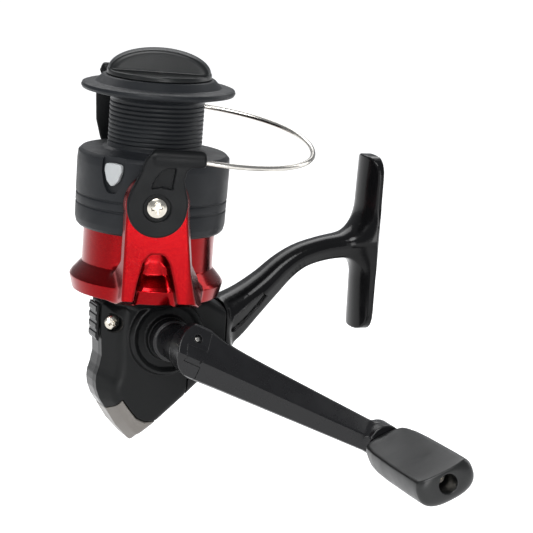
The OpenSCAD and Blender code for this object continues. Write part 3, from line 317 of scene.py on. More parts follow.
def less(a, *tools):
    for b in tools:
        a = np.maximum(a, -b)
    return a


def box(p, low, high, edge=0.0):
    d = [np.abs(p[:, i] - (low[i] + high[i]) / 2) - (high[i] - low[i]) / 2 + edge for i in range(3)]
    outside = np.sqrt(sum(np.maximum(k, 0) ** 2 for k in d))
    return outside + np.minimum(np.maximum(np.maximum(d[0], d[1]), d[2]), 0) - edge


def surfaceNet(field, low, high, cell):
    # Mesh of a field's zero surface: one point in each grid cell that it crosses, then drawn onto it. Only
    # blocks of cells near the surface are worked out in full
    cell *= coarse
    block, band, batch, probe, stray = 6, 9.5, 2000, 0.25, 0.7
    low = np.array(low, float) - 1.5 * cell
    blocks = np.ceil((np.array(high, float) + 1.5 * cell - low) / (cell * block)).astype(int)
    index = np.stack(np.meshgrid(*[np.arange(n) for n in blocks], indexing="ij"), -1).reshape(-1, 3)
    middle = field(low + (index * block + (block - 1) / 2) * cell)
    values = np.repeat(np.repeat(np.repeat(middle.reshape(blocks), block, 0), block, 1), block, 2)
    near = index[np.abs(middle) < band * cell] * block
    step = np.stack(np.meshgrid(*[np.arange(block)] * 3, indexing="ij"), -1).reshape(-1, 3)
    for part in np.array_split(near, max(1, len(near) // batch)):
        at = (part[:, None, :] + step[None]).reshape(-1, 3)
        values[at[:, 0], at[:, 1], at[:, 2]] = field(low + at * cell)
    inside = values < 0
    shape = np.array(values.shape)
    corners = [np.array((i, j, k)) for i in (0, 1) for j in (0, 1) for k in (0, 1)]
    spans = [tuple(slice(k, n - 1 + k) for k, n in zip(c, shape)) for c in corners]
    tally = sum(inside[span].astype(np.int8) for span in spans)
    cells = np.argwhere((tally > 0) & (tally < 8))
    number = np.full(values.shape, -1, np.int32)
    number[cells[:, 0], cells[:, 1], cells[:, 2]] = np.arange(len(cells))
    level = np.stack([values[tuple((cells + c).T)] for c in corners], 1)
    total, hits = np.zeros((len(cells), 3)), np.zeros(len(cells))
    for i, a in enumerate(corners):
        for j, b in enumerate(corners):
            if j > i and np.abs(a - b).sum() == 1:
                crossed = (level[:, i] < 0) != (level[:, j] < 0)
                t = level[crossed, i] / (level[crossed, i] - level[crossed, j])
                total[crossed] += a + t[:, None] * (b - a)
                hits[crossed] += 1
    points = low + (cells + total / hits[:, None]) * cell
    start = points.copy()
    reach = probe * cell
    for turn in range(3):
        slope = np.stack([(field(points + reach * e) - field(points - reach * e)) / (2 * reach)
                          for e in np.eye(3)], 1)
        if turn < 2:
            size = np.maximum((slope ** 2).sum(1), 0.2)
            points -= slope * (field(points) / size)[:, None]
            points = start + np.clip(points - start, -stray * cell, stray * cell)
    faces = []
    for axis in range(3):
        u, v = (axis + 1) % 3, (axis + 2) % 3
        du, dv = np.eye(3, dtype=int)[[u, v]]
        first = inside[tuple(slice(0, n - 1) if i == axis else slice(1, n - 1) for i, n in enumerate(shape))]
        second = inside[tuple(slice(1, n) if i == axis else slice(1, n - 1) for i, n in enumerate(shape))]
        for flip, mask in ((False, first & ~second), (True, ~first & second)):
            at = np.argwhere(mask) + du + dv
            quad = np.stack([number[tuple((at - a).T)] for a in (du + dv, dv, 0 * du, du)], 1)
            faces.append(quad[:, ::-1] if flip else quad)
    normals = slope / np.maximum(np.sqrt((slope ** 2).sum(1)), 1e-9)[:, None]
    return points, np.concatenate(faces), normals


def spun(points):
    c, s = math.cos(rotorTurn), math.sin(rotorTurn)
    return points @ np.array([[c, s, 0], [-s, c, 0], [0, 0, 1]])


def swung(points):
    # Handle frame: X along the arm, Z across it
    c, s = math.cos(handleTurn), math.sin(handleTurn)
    return points @ np.array([[c, 0, -s], [0, 1, 0], [s, 0, c]])


def addPiece(name, points, faces, normals, material, body, nodes):
    mesh = bpy.data.meshes.new(name)
    mesh.vertices.add(len(points))
    mesh.vertices.foreach_set("co", ((points - footSeat) / 1000).ravel())
    sizes = np.array([len(f) for f in faces])
    mesh.loops.add(int(sizes.sum()))
    mesh.loops.foreach_set("vertex_index", np.concatenate(faces).astype(np.int32))
    mesh.polygons.add(len(sizes))
    mesh.polygons.foreach_set("loop_start", np.concatenate([[0], np.cumsum(sizes)[:-1]]).astype(np.int32))
    mesh.update(calc_edges=True)
    mesh.validate()
    mesh.shade_smooth()
    if normals is not None:
        mesh.normals_split_custom_set_from_vertices(normals.tolist())
    mesh.materials.append(material)
    piece = bpy.data.objects.new(name, mesh)
    bpy.context.scene.collection.objects.link(piece)
    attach(piece, body)
    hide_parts(*nodes)
    print(name, len(points))
    return piece


def carve(name, field, low, high, cell, material, body, nodes, move=None, shift=0.0):
    points, faces, normals = surfaceNet(field, low, high, cell)
    if move:
        points, normals = move(points) + shift, move(normals)
    addPiece(name, points, faces, normals, material, body, nodes)


# Spool: turned profile with ringed arbor, grooved skirt and a pocket for the clip

def turnedMesh(profile, count):
    turn = np.linspace(0, 2 * math.pi, count, endpoint=False)
    ring = np.array(profile)
    points = np.stack([np.outer(np.cos(turn), ring[:, 0]), np.outer(np.sin(turn), ring[:, 0]),
                       np.tile(ring[:, 1], (count, 1))], -1).reshape(-1, 3)
    n = len(ring)
    i, j = (k.ravel() for k in np.meshgrid(np.arange(count), np.arange(n), indexing="ij"))
    after, above = ((i + 1) % count) * n, (j + 1) % n
    return points, np.stack([i * n + j, after + j, after + above, i * n + above], 1)


clipSet = {
    "turn": math.radians(-51.2), "height": 50, "skirt": 22.8, "deep": 1.3, "proud": 0.15,
    "crown": 0.03, "clear": 4, "cell": 0.16,
    "pocket": fillet([(-3.8, 7), (3.8, 7), (3.9, 0.4), (3, -3.2), (1.5, -5.8), (-1.5, -5.8), (-3, -3.2),
                      (-3.9, 0.4)], 1.8, 4),
    "clip": fillet([(-2.8, 2.9), (0, 3.15), (2.8, 2.9), (2.95, 0.8), (1.95, -2.1), (0, -3.9), (-1.95, -2.1),
                    (-2.95, 0.8)], 1.2, 4)}


def onClip(points):
    # Clip frame: X across, Y out of the skirt, Z up
    c, s = math.cos(clipSet["turn"]), math.sin(clipSet["turn"])
    out = points * np.array([-1, -1, 1])
    return np.stack([c * out[:, 0] - s * out[:, 1], s * out[:, 0] + c * out[:, 1], out[:, 2]], 1)


def cutPocket(piece):
    s = clipSet
    count = len(s["pocket"])
    tool = np.array([(u, s["skirt"] + w, s["height"] + v)
                     for w in (-s["deep"], s["clear"]) for u, v in s["pocket"]])
    sides = [[i, (i + 1) % count, count + (i + 1) % count, count + i] for i in range(count)]
    ends = [list(range(count))[::-1], list(range(count, 2 * count))]
    mesh = bpy.data.meshes.new("pocketTool")
    mesh.from_pydata(((onClip(tool) - footSeat) / 1000).tolist(), [], sides + ends)
    cutter = bpy.data.objects.new("pocketTool", mesh)
    bpy.context.scene.collection.objects.link(cutter)
    bm = bmesh.new()
    bm.from_mesh(mesh)
    bmesh.ops.recalc_face_normals(bm, faces=bm.faces)
    bm.to_mesh(mesh)
    bm.free()
    change = piece.modifiers.new("pocket", "BOOLEAN")
    change.object = cutter
    change.operation = "DIFFERENCE"
    bpy.context.view_layer.update()
    shape = bpy.data.meshes.new_from_object(piece.evaluated_get(bpy.context.evaluated_depsgraph_get()))
    piece.modifiers.clear()
    piece.data = shape
    bpy.data.objects.remove(cutter)


def makeSpool():
    s = {"arbor": 14.1, "base": 57.4, "pitch": 1.333, "rings": 10, "groove": 0.34, "ringHalf": 0.3,
         "count": 224, "corner": 0.18, "sharp": math.radians(32)}
    lower = [(1.45, 48.8), (4.4, 48.8), (4.4, 66.6), (12.3, 66.6), (12.3, 53.4), (20.5, 52.8), (20.5, 31.8)]
    skirt = [(21.4, 31.8), (22.1, 32.6), (22.5, 34.2), (22.58, 38.3), (22.25, 38.5), (22.25, 38.9),
             (22.6, 39.1), (22.62, 41.2), (22.3, 41.4), (22.3, 41.8), (22.68, 42), (22.8, 51.6),
             (22.6, 53.9), (21.6, 54.9)]
    foot = [(15.6, 55.4), (14.2, 55.9), (s["arbor"], 56.6)]
    rings = [(s["arbor"] - (0 if k else s["groove"]), s["base"] + i * s["pitch"] + k * s["ringHalf"])
             for i in range(s["rings"]) for k in (-1, 0, 1)]
    lip = [(s["arbor"], 70.3), (14.9, 71), (21.6, 72.5), (22.6, 72.75), (23, 73.5), (22.7, 74.3),
           (21.8, 74.6), (19.2, 74.8), (18.8, 74.9), (16.9, 76.9), (16.5, 77.1), (15.6, 77.1), (14.9, 76.6),
           (10.5, 76.3), (10.5, 68), (1.45, 68)]
    profile = fillet(lower + skirt + foot + rings + lip, s["corner"], 2)
    points, faces = turnedMesh(profile, s["count"])
    piece = addPiece("spoolShell", points, faces, None, mattePlastic,
                     "spool_unit", ["spool"])
    cutPocket(piece)
    piece.data.shade_smooth()
    piece.data.set_sharp_from_angle(angle=s["sharp"])


def clipField(p):
    s = clipSet
    flat = polyDist(p[:, 0], p[:, 2] - s["height"], s["clip"])
    crown = s["skirt"] + s["proud"] - s["crown"] * p[:, 0] ** 2 - p[:, 1]
    return both(both(flat, -crown, 0.3), s["skirt"] - s["deep"] - p[:, 1], 0)


# Drag knob: round base with a domed finger bar between two scooped sides

def knobField(p):
    s = {"base": 77.22, "rim": 78.7, "radius": 15.45, "inset": 0.1, "high": 8.3, "step": 1.4, "bar": 5.4,
         "waist": 0.45, "draft": 0.13, "collar": 8.9, "collarLow": 72.42, "bore": (5.2, 71, 78.7),
         "turn": math.radians(-20), "slope": 0.8}
    c, n = math.cos(s["turn"]), math.sin(s["turn"])
    u, v, z = c * p[:, 0] + n * p[:, 1], -n * p[:, 0] + c * p[:, 1], p[:, 2]
    r = np.hypot(u, v)
    base = extrude(r - s["radius"], z, s["base"], s["rim"], 0.4)
    rise = np.maximum(z - s["base"] - s["step"], 0) / (s["high"] - s["step"])
    dome = (np.sqrt((r / (s["radius"] - s["inset"])) ** 2 + rise ** 2) - 1) * s["high"] * s["slope"]
    narrow = s["waist"] * (1 - np.minimum(np.abs(u) / s["radius"], 1) ** 2)
    wall = s["bar"] - narrow - np.abs(v) - s["draft"] * (z - s["rim"])
    scoop = cut(wall, z - s["rim"] + 0.4, 0.8)
    grip = cut(both(dome, s["base"] - z, 0), scoop, 1.1)
    collar = extrude(r - s["collar"], z, s["collarLow"], s["base"] + 0.5)
    whole = joined(joined(base, grip, 0.6), collar, 0.1)
    return cut(whole, bar(r, z, s["bore"]), 0.05)


# Rotor: drum and flared rim turned, ears blended in, arch cut through each ear

rotorSet = {
    "cell": 0.34, "earOut": 26.6, "earRadius": 9, "earShift": 0.2, "flare": 0.28,
    "flareMost": 8, "corner": 29, "archDraft": 0.06, "archFrom": 23, "archFloor": -2, "blend": 2.6,
    "post": (2.4, 23.5, 29.3), "bore": (1.05, 22, 40),
    "spoolRoom": (20.15, 23.35, 26), "neckRoom": (18, 18, 7.2),
    "springRoom": ((3.7, 20, 29.6), (6.3, 25.9, 42.4)),
    "drum": fillet([(2.92, 25.26), (18.05, 25.26), (18.05, 20.4), (21.2, 16.4), (20.8, 12.3), (22.1, 12.3),
                    (23.1, 16.4), (22.5, 17.4), (20.1, 20.2), (19.65, 20.8), (19.65, 40), (18.05, 40),
                    (18.05, 27.86), (2.92, 27.86)], 0.35, 3),
    "ear": [(-8.5, 42.6), (-8.3, 12), (13.5, 12), (11.2, 23), (9.5, 37.6), (9.1, 42.6)],
    "side": [(17.5, 12.3), (22.1, 12.3), (26.6, 13.9), (26.6, 60), (23.5, 60), (23.5, 25.6), (17.5, 20.4)],
    "arch": fillet([(-5.4, 9), (8.9, 9), (6.6, 19), (4.8, 25.4), (3.1, 28), (-0.7, 28), (-2.5, 25.4),
                    (-3.9, 19)], 1.6, 4)}


def rotorField(p):
    s = rotorSet
    x, y, z = p.T
    r, a = np.hypot(x, y), np.abs(y)
    b = np.where(y < 0, x, -x)
    drum = polyDist(r, z, s["drum"])
    top = np.hypot(b - s["earShift"], z - pivotHeight) - s["earRadius"]
    face = np.minimum(polyDist(b, z, s["ear"]), top)
    face = face - s["flare"] * np.clip(s["earOut"] - a, 0, s["flareMost"])
    ear = both(face, polyDist(a, z, s["side"]), 0.45)
    ear = cut(ear, s["corner"] - r, 0.8)
    arch = polyDist(b, z, s["arch"]) - s["archDraft"] * (a - s["archFrom"])
    ear = cut(ear, np.maximum(arch, s["archFloor"]), 0.7)
    whole = joined(drum, ear, s["blend"])
    # Room for the spool's skirt above and for the housing's neck inside
    least, most, low = s["spoolRoom"]
    skirt = np.maximum(np.maximum(least - r, r - most), low - z)
    radius, middle, half = s["neckRoom"]
    inside = np.maximum(r - radius, np.abs(z - middle) - half)
    whole = less(whole, skirt, inside)
    pivot = np.hypot(b, z - pivotHeight)
    whole = np.minimum(whole, bar(pivot, a, s["post"]))
    # The bail spring lies in the front ear only
    pocket = np.where(y < 0, box(np.stack([b, a, z], 1), *s["springRoom"]), 9)
    return less(whole, bar(pivot, a, s["bore"]), pocket)


# Bail arms: rounded plates with a screw recess; the front one has a fin-shaped recess and a socket for the
# wire, the rear one a boss for the line roller's screw

armSet = {
    "in": 26.9, "out": 30.3, "radius": 8.7, "seat": 29.3, "bore": 2.45, "recess": 4, "cell": 0.26,
    "clear": 40, "top": 59.6, "bevel": 0.7, "bevelFrom": 1, "finDeep": 1.5, "line": 7.5, "lineHalf": 0.22,
    "lineDeep": 0.14, "socketAt": (28.2, 56.9), "socket": (1.9, -1.5, 13.2),
    "front": fillet([(-8.5, 42.6), (-7.6, 47.6), (-5.6, 52.1), (-4.1, 56.6), (-1.7, 59.4), (13.2, 59.6),
                     (13.2, 55.3), (9.3, 55), (8, 53.6), (7.4, 51.2), (8, 48.4), (8.7, 45.6),
                     (8.7, 42.6)], 1.2, 4),
    "fin": fillet([(-2.1, 48.1), (-0.9, 51.4), (0.7, 53.4), (2.5, 54.4), (4.8, 54.6), (4.2, 50.3), (4, 48.2),
                   (1, 48.8)], 0.4, 3),
    "rear": fillet([(-8.5, 42.6), (-11.9, 47.2), (-15.2, 53.6), (-16.7, 59), (-17.2, 66.6), (-17, 72.6),
                    (-15.6, 76.6), (-11.2, 76.6), (-11.2, 62.6), (-4, 55.6), (8.5, 44.6),
                    (8.5, 42.6)], 1.2, 4)}
rollerSet = {"lean": math.radians(13), "start": (13.6, 28.2, 65.25), "boss": (3.9, 24.4, 30.2),
             "room": (4.6, 10, 24.4), "bore": (1.05, 0, 60), "recess": (2.5, 28.8, 60)}
rollerAxis = np.array([-math.cos(rollerSet["lean"]), 0, math.sin(rollerSet["lean"])])


def armBores(whole, b, a, z):
    s = armSet
    pivot = np.hypot(b, z - pivotHeight)
    whole = cut(whole, bar(pivot, a, (s["recess"], s["seat"], s["clear"])), 0.4)
    return less(whole, pivot - s["bore"])


def frontArmField(p):
    s = armSet
    b, a, z = p[:, 0], -p[:, 1], p[:, 2]
    disc = np.hypot(b, z - pivotHeight) - s["radius"]
    flat = joined(disc, polyDist(b, z, s["front"]), 1)
    plate = extrude(flat, a, s["in"], s["out"], 0.55)
    plate = cut(plate, s["bevel"] * (s["out"] - a) + s["bevel"] * (s["top"] - z) - s["bevelFrom"], 0.8)
    across, height = s["socketAt"]
    whole = joined(plate, bar(np.hypot(a - across, z - height), b, s["socket"], 0.5), 1.2)
    whole = cut(whole, extrude(polyDist(b, z, s["fin"]), a, s["out"] - s["finDeep"], s["clear"]), 0.35)
    # A hairline round the disc, which marks only the edge of the fin-shaped recess
    floor = s["out"] - s["lineDeep"]
    line = np.maximum(np.abs(np.hypot(b, z - pivotHeight) - s["line"]) - s["lineHalf"], a - floor)
    return armBores(cut(whole, extrude(line, a, floor, s["clear"]), 0.15), b, a, z)


def rollerAlong(p):
    # Way along the line roller's axis and distance from it
    q = p - np.array(rollerSet["start"])
    along = q @ rollerAxis
    return along, np.sqrt(np.maximum((q ** 2).sum(1) - along ** 2, 0))


def rearArmField(p):
    s, r = armSet, rollerSet
    b, a, z = p[:, 0], p[:, 1], p[:, 2]
    along, off = rollerAlong(p)
    disc = np.hypot(b, z - pivotHeight) - s["radius"]
    flat = joined(disc, polyDist(b, z, s["rear"]), 2)
    plate = extrude(flat, a, s["in"], s["out"], 0.6)
    whole = joined(plate, bar(off, along, r["boss"], 0.6), 1.5)
    whole = less(whole, bar(off, along, r["room"]), bar(off, along, r["bore"]))
    whole = cut(whole, bar(off, along, r["recess"]), 0.2)
    return armBores(whole, b, a, z)


# Bail wire: one round wire, its cone at the roller turned from the same steel

def makeWire():
    s = {"radius": 0.8, "half": 28.2, "start": 8, "side": 13.6, "reach": 33.8, "power": 2.185, "height": 56.4,
         "tilt": 0.157, "sag": 0.096, "steps": 160, "sides": 16, "sharp": math.radians(40),
         "straight": (3, 6, 9, 12),
         "cone": ((13.6, 0.8), (14, 1.1), (14.3, 1.2), (18.4, 3), (18.7, 3.1), (18.8, 3), (18.8, 0))}
    path = [np.array([s["start"], -s["half"], s["height"]])]
    for t in np.linspace(0, math.pi, s["steps"] + 1):
        back = s["half"] * np.sign(math.cos(t)) * abs(math.cos(t)) ** (2 / s["power"])
        out = s["reach"] * abs(math.sin(t)) ** (2 / s["power"])
        rise = s["height"] - s["sag"] * out + s["tilt"] * (s["half"] - back)
        path.append(np.array([s["side"] + out, -back, rise]))
    end = path[-1]
    path += [end + d * rollerAxis for d in s["straight"]]
    widths = [s["radius"]] * len(path) + [w for d, w in s["cone"]]
    path = np.array(path + [end + d * rollerAxis for d, w in s["cone"]])
    ahead = np.gradient(path, axis=0)
    ahead[-3:] = rollerAxis
    ahead /= np.linalg.norm(ahead, axis=1)[:, None]
    side = np.cross([0, 0, 1], ahead)
    side /= np.linalg.norm(side, axis=1)[:, None]
    rise = np.cross(ahead, side)
    turn = np.linspace(0, 2 * math.pi, s["sides"], endpoint=False)
    ring = np.cos(turn)[None, :, None] * side[:, None] + np.sin(turn)[None, :, None] * rise[:, None]
    points = (path[:, None] + np.array(widths)[:, None, None] * ring).reshape(-1, 3)
    n = s["sides"]
    faces = [[i * n + j, i * n + (j + 1) % n, (i + 1) * n + (j + 1) % n, (i + 1) * n + j]
             for i in range(len(path) - 1) for j in range(n)]
    faces.append(list(range(n))[::-1])
    piece = addPiece("bailWireLoop", spun(points), faces, None, steelWire,
                     "bail", ["bail_wire"])
    piece.data.set_sharp_from_angle(angle=s["sharp"])


# Screws: domed head with a tapered cross recess, shank below

def screwField(q, head, high, shank, long):
    s = {"crown": 2.2, "arm": 0.6, "draft": 0.35, "blade": 0.13, "centre": 0.24, "floor": 0.15}
    r = np.hypot(q[:, 0], q[:, 1])
    z = q[:, 2]
    crown = np.sqrt(r ** 2 + (z + s["crown"] * head - high) ** 2) - s["crown"] * head
    top = both(both(r - head, crown, 0.15), -z, 0)
    arm = head * s["arm"] - s["draft"] * (high - z)
    cross = np.minimum(np.maximum(np.abs(q[:, 0]) - arm, np.abs(q[:, 1]) - head * s["blade"]),
                       np.maximum(np.abs(q[:, 1]) - arm, np.abs(q[:, 0]) - head * s["blade"]))
    hollow = np.maximum(joined(cross, r - head * s["centre"], 0.2), high * s["floor"] - z)
    return np.minimum(cut(top, hollow, 0.08), extrude(r - shank, z, -long, 0.2))


def makeScrews(name, spots, size, material, body, nodes, move=None):
    # Each spot: place, direction that the head faces, turn of the cross. The size: head radius, head height,
    # shank radius, shank length
    head, high, shank, long = size
    cell = 0.13
    gathered = [[], [], []]
    field = lambda q: screwField(q, head, high, shank, long)
    points, faces, normals = surfaceNet(field, (-head, -head, -long), (head, head, high), cell)
    offset = 0
    for place, facing, turn in spots:
        w = np.array(facing, float)
        u = np.cross([0, 0, 1], w)
        u /= np.linalg.norm(u)
        v = np.cross(w, u)
        u, v = math.cos(turn) * u + math.sin(turn) * v, math.cos(turn) * v - math.sin(turn) * u
        turned = np.stack([u, v, w])
        gathered[0].append(points @ turned + np.array(place))
        gathered[1].append(faces + offset)
        gathered[2].append(normals @ turned)
        offset += len(points)
    points, faces, normals = (np.concatenate(g) for g in gathered)
    if move:
        points, normals = move(points), move(normals)
    addPiece(name, points, faces, normals, material, body, nodes)


# Housing: a rim outline that slopes to a smaller face on each side, a round neck, and seams for the cover and
# the tail guard

bodySet = {
    "cell": 0.42, "half": 10, "rear": 4.6, "wall": 1.6, "part": -1.2, "lap": 0.6, "seam": 0.07,
    "slope": 0.82, "axle": 4.05, "gearRoom": (15.66, 2.9), "inEnd": 21.7, "farBoss": (8, 8, 11.6),
    "bearing": (6.25, 19, 2.4),
    "rim": fillet([(17.5, 11.8), (-15, 9.5), (-14.9, 4), (-14.5, -2), (-14.1, -7), (-14.7, -10.5),
                   (-15.4, -13), (-15.5, -15), (-15.1, -17.4), (-13.9, -20.3), (-8.4, -28.4), (-3.4, -33.5),
                   (2.3, -28.3), (12, -19.5), (27.5, -5), (24.9, 7.8)], 1.2, 3),
    "face": fillet([(17, 10.8), (-9.8, 9), (-10, 3), (-10, -2), (-9.6, -7.5), (-9.6, -10.5), (-9.9, -13),
                    (-10.8, -15), (-11, -17.2), (-10.2, -19.6), (-5.8, -26.4), (-2.6, -30.3), (1.5, -27.4),
                    (11.2, -18.6), (25.7, -4.6), (23.7, 7)], 1.2, 3),
    "neck": [(0, 0), (7.5, 0), (10, 8), (17, 12), (17, 19.4), (0, 19.4)],
    "cover": [(-60, -60), (11.8, -60), (11.8, -13.5), (23.3, -3.5), (23.3, 9), (19.3, 16), (-60, 16)],
    "tail": [(-40, -27.5), (-12.2, -23.3), (-10.2, -21.7), (-8.4, -19.4), (-6.5, -21.9), (-3.7, -25.2),
             (-1.1, -26.4), (30, -26.2), (30, -60), (-40, -60)],
    "boss": [(0, 8), (11.9, 8), (11.8, 10.8), (11.3, 11.6), (10.6, 11.8), (10, 11.4), (9.4, 10.9),
             (7.1, 10.9), (6.8, 11.3), (6.7, 12.3), (6.5, 12.6), (4.05, 12.6), (4.05, 8)]}


def housing(p):
    s = bodySet
    x, y, z = p.T
    t = np.clip((np.abs(y) - s["rear"]) / (s["half"] - s["rear"]), 0, 1)
    side = s["slope"] * ((1 - t) * polyDist(x, z, s["rim"]) + t * polyDist(x, z, s["face"]))
    block = cut(side, s["half"] - np.abs(y), 1.8)
    neck = polyDist(np.hypot(x, y), z, s["neck"])
    return joined(block, neck, 1.2)


def shellField(p):
    solid = housing(p)
    return less(solid, solid + bodySet["wall"])


def beyondSeam(p, name):
    # Distance from the cover's or the tail guard's outline, seen from the side
    return polyDist(p[:, 0], p[:, 2], bodySet[name])


# Each cover screw: x, z, seat, side that it faces, turn of its cross; the first holds the near side
screwSet = {
    "spots": ((-12.3, 3.8, 6, -1, 0.6), (20.3, 4, 8.3, 1, 0.2), (1, -22, 8.3, 1, 1)),
    "recess": 2.7, "root": 3.4, "under": 1.6, "rootEnd": 9, "rootIn": 0.3, "clear": 14}


def sunkScrew(p, spot):
    x, z, seat, facing = spot[:4]
    away = np.hypot(p[:, 0] - x, p[:, 2] - z)
    return extrude(away - screwSet["recess"], p[:, 1] * facing, seat, screwSet["clear"])


switchSet = {
    "place": (-14.85, 0, 3.2), "lean": -math.atan2(0.5, 11.5), "cell": 0.2,
    "slot": ((-1, -1.7, -6.2), (2.4, 1.7, -0.2)), "tab": ((-1.1, -3.6, -5.5), (-0.3, 3.6, 5.5)),
    "ribs": (-4.1, -1.4, 1.3, 4), "ribHalf": 0.9, "rib": ((-1.4, -3.5), (-0.7, 3.5)),
    "stalk": ((-0.8, -1.2, -2.5), (2.3, 1.2, -0.7)), "keeper": ((1.9, -3, -2.5), (2.4, 3, -0.7))}


def onSwitch(p):
    c, n = math.cos(switchSet["lean"]), math.sin(switchSet["lean"])
    q = p - np.array(switchSet["place"])
    return np.stack([c * q[:, 0] - n * q[:, 2], q[:, 1], n * q[:, 0] + c * q[:, 2]], 1)


def switchSlot(p):
    return box(onSwitch(p), *switchSet["slot"])


def coverField(p):
    s = bodySet
    x, y, z = p.T
    whole = cut(shellField(p), -(beyondSeam(p, "cover") + s["seam"]), 0.4)
    whole = np.maximum(whole, y - s["part"])
    radius = np.hypot(x - handleAxis[0], z)
    whole = joined(whole, polyDist(radius, -y, s["boss"]), 0.5)
    whole = less(whole, np.maximum(radius - s["axle"], y))
    whole = cut(whole, beyondSeam(p, "tail") - s["seam"], 0.3)
    k = screwSet
    atX, atZ, seat = k["spots"][0][:3]
    root = bar(np.hypot(x - atX, z - atZ), -y, (k["root"], seat - k["under"], k["rootEnd"]))
    root = np.maximum(root, housing(p) + k["rootIn"])
    whole = cut(np.minimum(whole, root), sunkScrew(p, k["spots"][0]), 0.3)
    room, half = s["gearRoom"]
    gear = np.maximum(radius - room, np.abs(y + half) - half)
    return less(whole, gear, switchSlot(p))


def tailField(p):
    return cut(shellField(p), -(beyondSeam(p, "tail") + bodySet["seam"]), 0.4)


# Stem and foot: curved beam with a leaf-shaped panel on each side, and a long foot with a domed inner face

stemSet = {
    "centre": [(18, -1.5), (22.5, 1.2), (27, 4), (33, 8.6), (38.9, 13.8), (44.4, 19), (50, 22.6), (57, 24.8),
               (63.5, 25.9), (68.5, 26.8), (73, 27.5)],
    "high": [9, 8, 7, 5.4, 4.4, 3.9, 3.6, 3.6, 3.9, 5, 7.4],
    "wide": [9.4, 9, 8.4, 7.2, 6.2, 5.5, 5.1, 5.1, 5.8, 7, 7.8],
    "panel": [(25.2, 0.6), (26.6, 0.3), (31, 3.9), (35, 8), (37.4, 11.2), (36.2, 12), (32, 9.4), (26.4, 5)],
    "sunk": 0.7, "power": 2.5, "lean": 0.42, "ridge": 0.02, "slope": 0.85, "count": 40}


def curveThrough(values, count):
    values = np.array(values, float)
    padded = np.concatenate([[2 * values[0] - values[1]], values, [2 * values[-1] - values[-2]]])
    made = []
    for t in np.linspace(0, len(values) - 1 - 1e-6, count):
        i = int(t)
        f = t - i
        a, b, c, d = padded[i:i + 4]
        made.append(0.5 * (2 * b + (c - a) * f + (2 * a - 5 * b + 4 * c - d) * f * f
                           + (3 * b - a - 3 * c + d) * f ** 3))
    return np.array(made)


stemPath, stemHigh, stemWide = (curveThrough(stemSet[k], stemSet["count"])
                                for k in ("centre", "high", "wide"))


def stemField(p):
    s = stemSet
    x, y, z = p.T
    best = np.full(x.shape, 1e9)
    across, high, wide = np.zeros(x.shape), np.ones(x.shape), np.ones(x.shape)
    for i in range(len(stemPath) - 1):
        a, b = stemPath[i], stemPath[i + 1]
        e = b - a
        t = np.clip(((x - a[0]) * e[0] + (z - a[1]) * e[1]) / (e @ e), 0, 1)
        dx, dz = x - a[0] - t * e[0], z - a[1] - t * e[1]
        d = dx * dx + dz * dz
        closer = d < best
        best = np.where(closer, d, best)
        sign = np.where(dz * e[0] - dx * e[1] > 0, 1, -1)
        across = np.where(closer, sign * np.sqrt(d), across)
        high = np.where(closer, stemHigh[i] + t * (stemHigh[i + 1] - stemHigh[i]), high)
        wide = np.where(closer, stemWide[i] + t * (stemWide[i + 1] - stemWide[i]), wide)
    level = (np.abs(across) / high) ** s["power"] + (np.abs(y) / wide) ** s["power"]
    beam = (level ** (1 / s["power"]) - 1) * np.minimum(high, wide) * s["slope"]
    # Below a crisp ridge the flanks are flat and lean inwards, each with a sunk leaf-shaped panel
    flank = (np.abs(y) / wide - 1 - s["lean"] * (across / high - s["ridge"])) * wide * s["slope"]
    panel = np.maximum(polyDist(x, z, s["panel"]), -flank - s["sunk"])
    return cut(cut(beam, -flank, 0.3), panel, 0.4)


footSet = {
    "half": 8, "long": 27.25, "thick": 4.8, "tip": 4.1, "edge": 1.4, "height": 27, "corner": 6.6,
    "endPower": 1.6, "domePower": 2.2, "blend": 5.5, "keepFrom": 66, "keepSlope": 1.2}


def footPlan(p):
    s = footSet
    w, l = s["half"], s["long"]
    outline = fillet([(-w, -l), (w, -l), (w, l), (-w, l)], s["corner"], 8)
    return polyDist(p[:, 1], p[:, 2] - s["height"], outline)


def footField(p):
    s = footSet
    x, y, z = p.T
    k = np.clip(np.abs(z - s["height"]) / s["long"], 0, 1)
    crown = s["tip"] + (s["thick"] - s["tip"]) * (1 - k ** s["endPower"])
    thick = crown - (crown - s["edge"]) * (np.abs(y) / s["half"]) ** s["domePower"]
    back = footSeat[0] - thick - x
    return both(both(footPlan(p), back, 0.5), x - footSeat[0], 0.15)


def frameField(p):
    s, f = bodySet, footSet
    x, y, z = p.T
    solid = housing(p)
    inner = np.maximum(solid + s["wall"], x - s["inEnd"])
    whole = less(joined(solid, stemField(p), 1.6), inner)
    # The frame runs on a little inside the cover's edge, so that no line shows along the rear wall
    cover = beyondSeam(p, "cover") - s["seam"]
    whole = less(whole, np.maximum(cover, y - s["part"] + s["lap"]))
    whole = cut(whole, beyondSeam(p, "tail") - s["seam"], 0.35)
    whole = joined(whole, footField(p), f["blend"])
    # The fillet round the stem stays within the foot's outline at the seat
    keep = footPlan(p) - f["keepSlope"] * (footSeat[0] - x)
    whole = np.maximum(whole, np.where(x > f["keepFrom"], keep, -9))
    whole = np.maximum(whole, x - footSeat[0])
    radius = np.hypot(x - handleAxis[0], z)
    whole = joined(whole, bar(radius, y, s["farBoss"], 0.4), 0.6)
    whole = less(whole, np.maximum(radius - s["axle"], -y))
    for spot in screwSet["spots"][1:]:
        whole = cut(whole, sunkScrew(p, spot), 0.3)
    size, middle, half = s["bearing"]
    seat = np.maximum(np.hypot(x, y) - size, np.abs(z - middle) - half)
    return less(whole, seat, switchSlot(p))


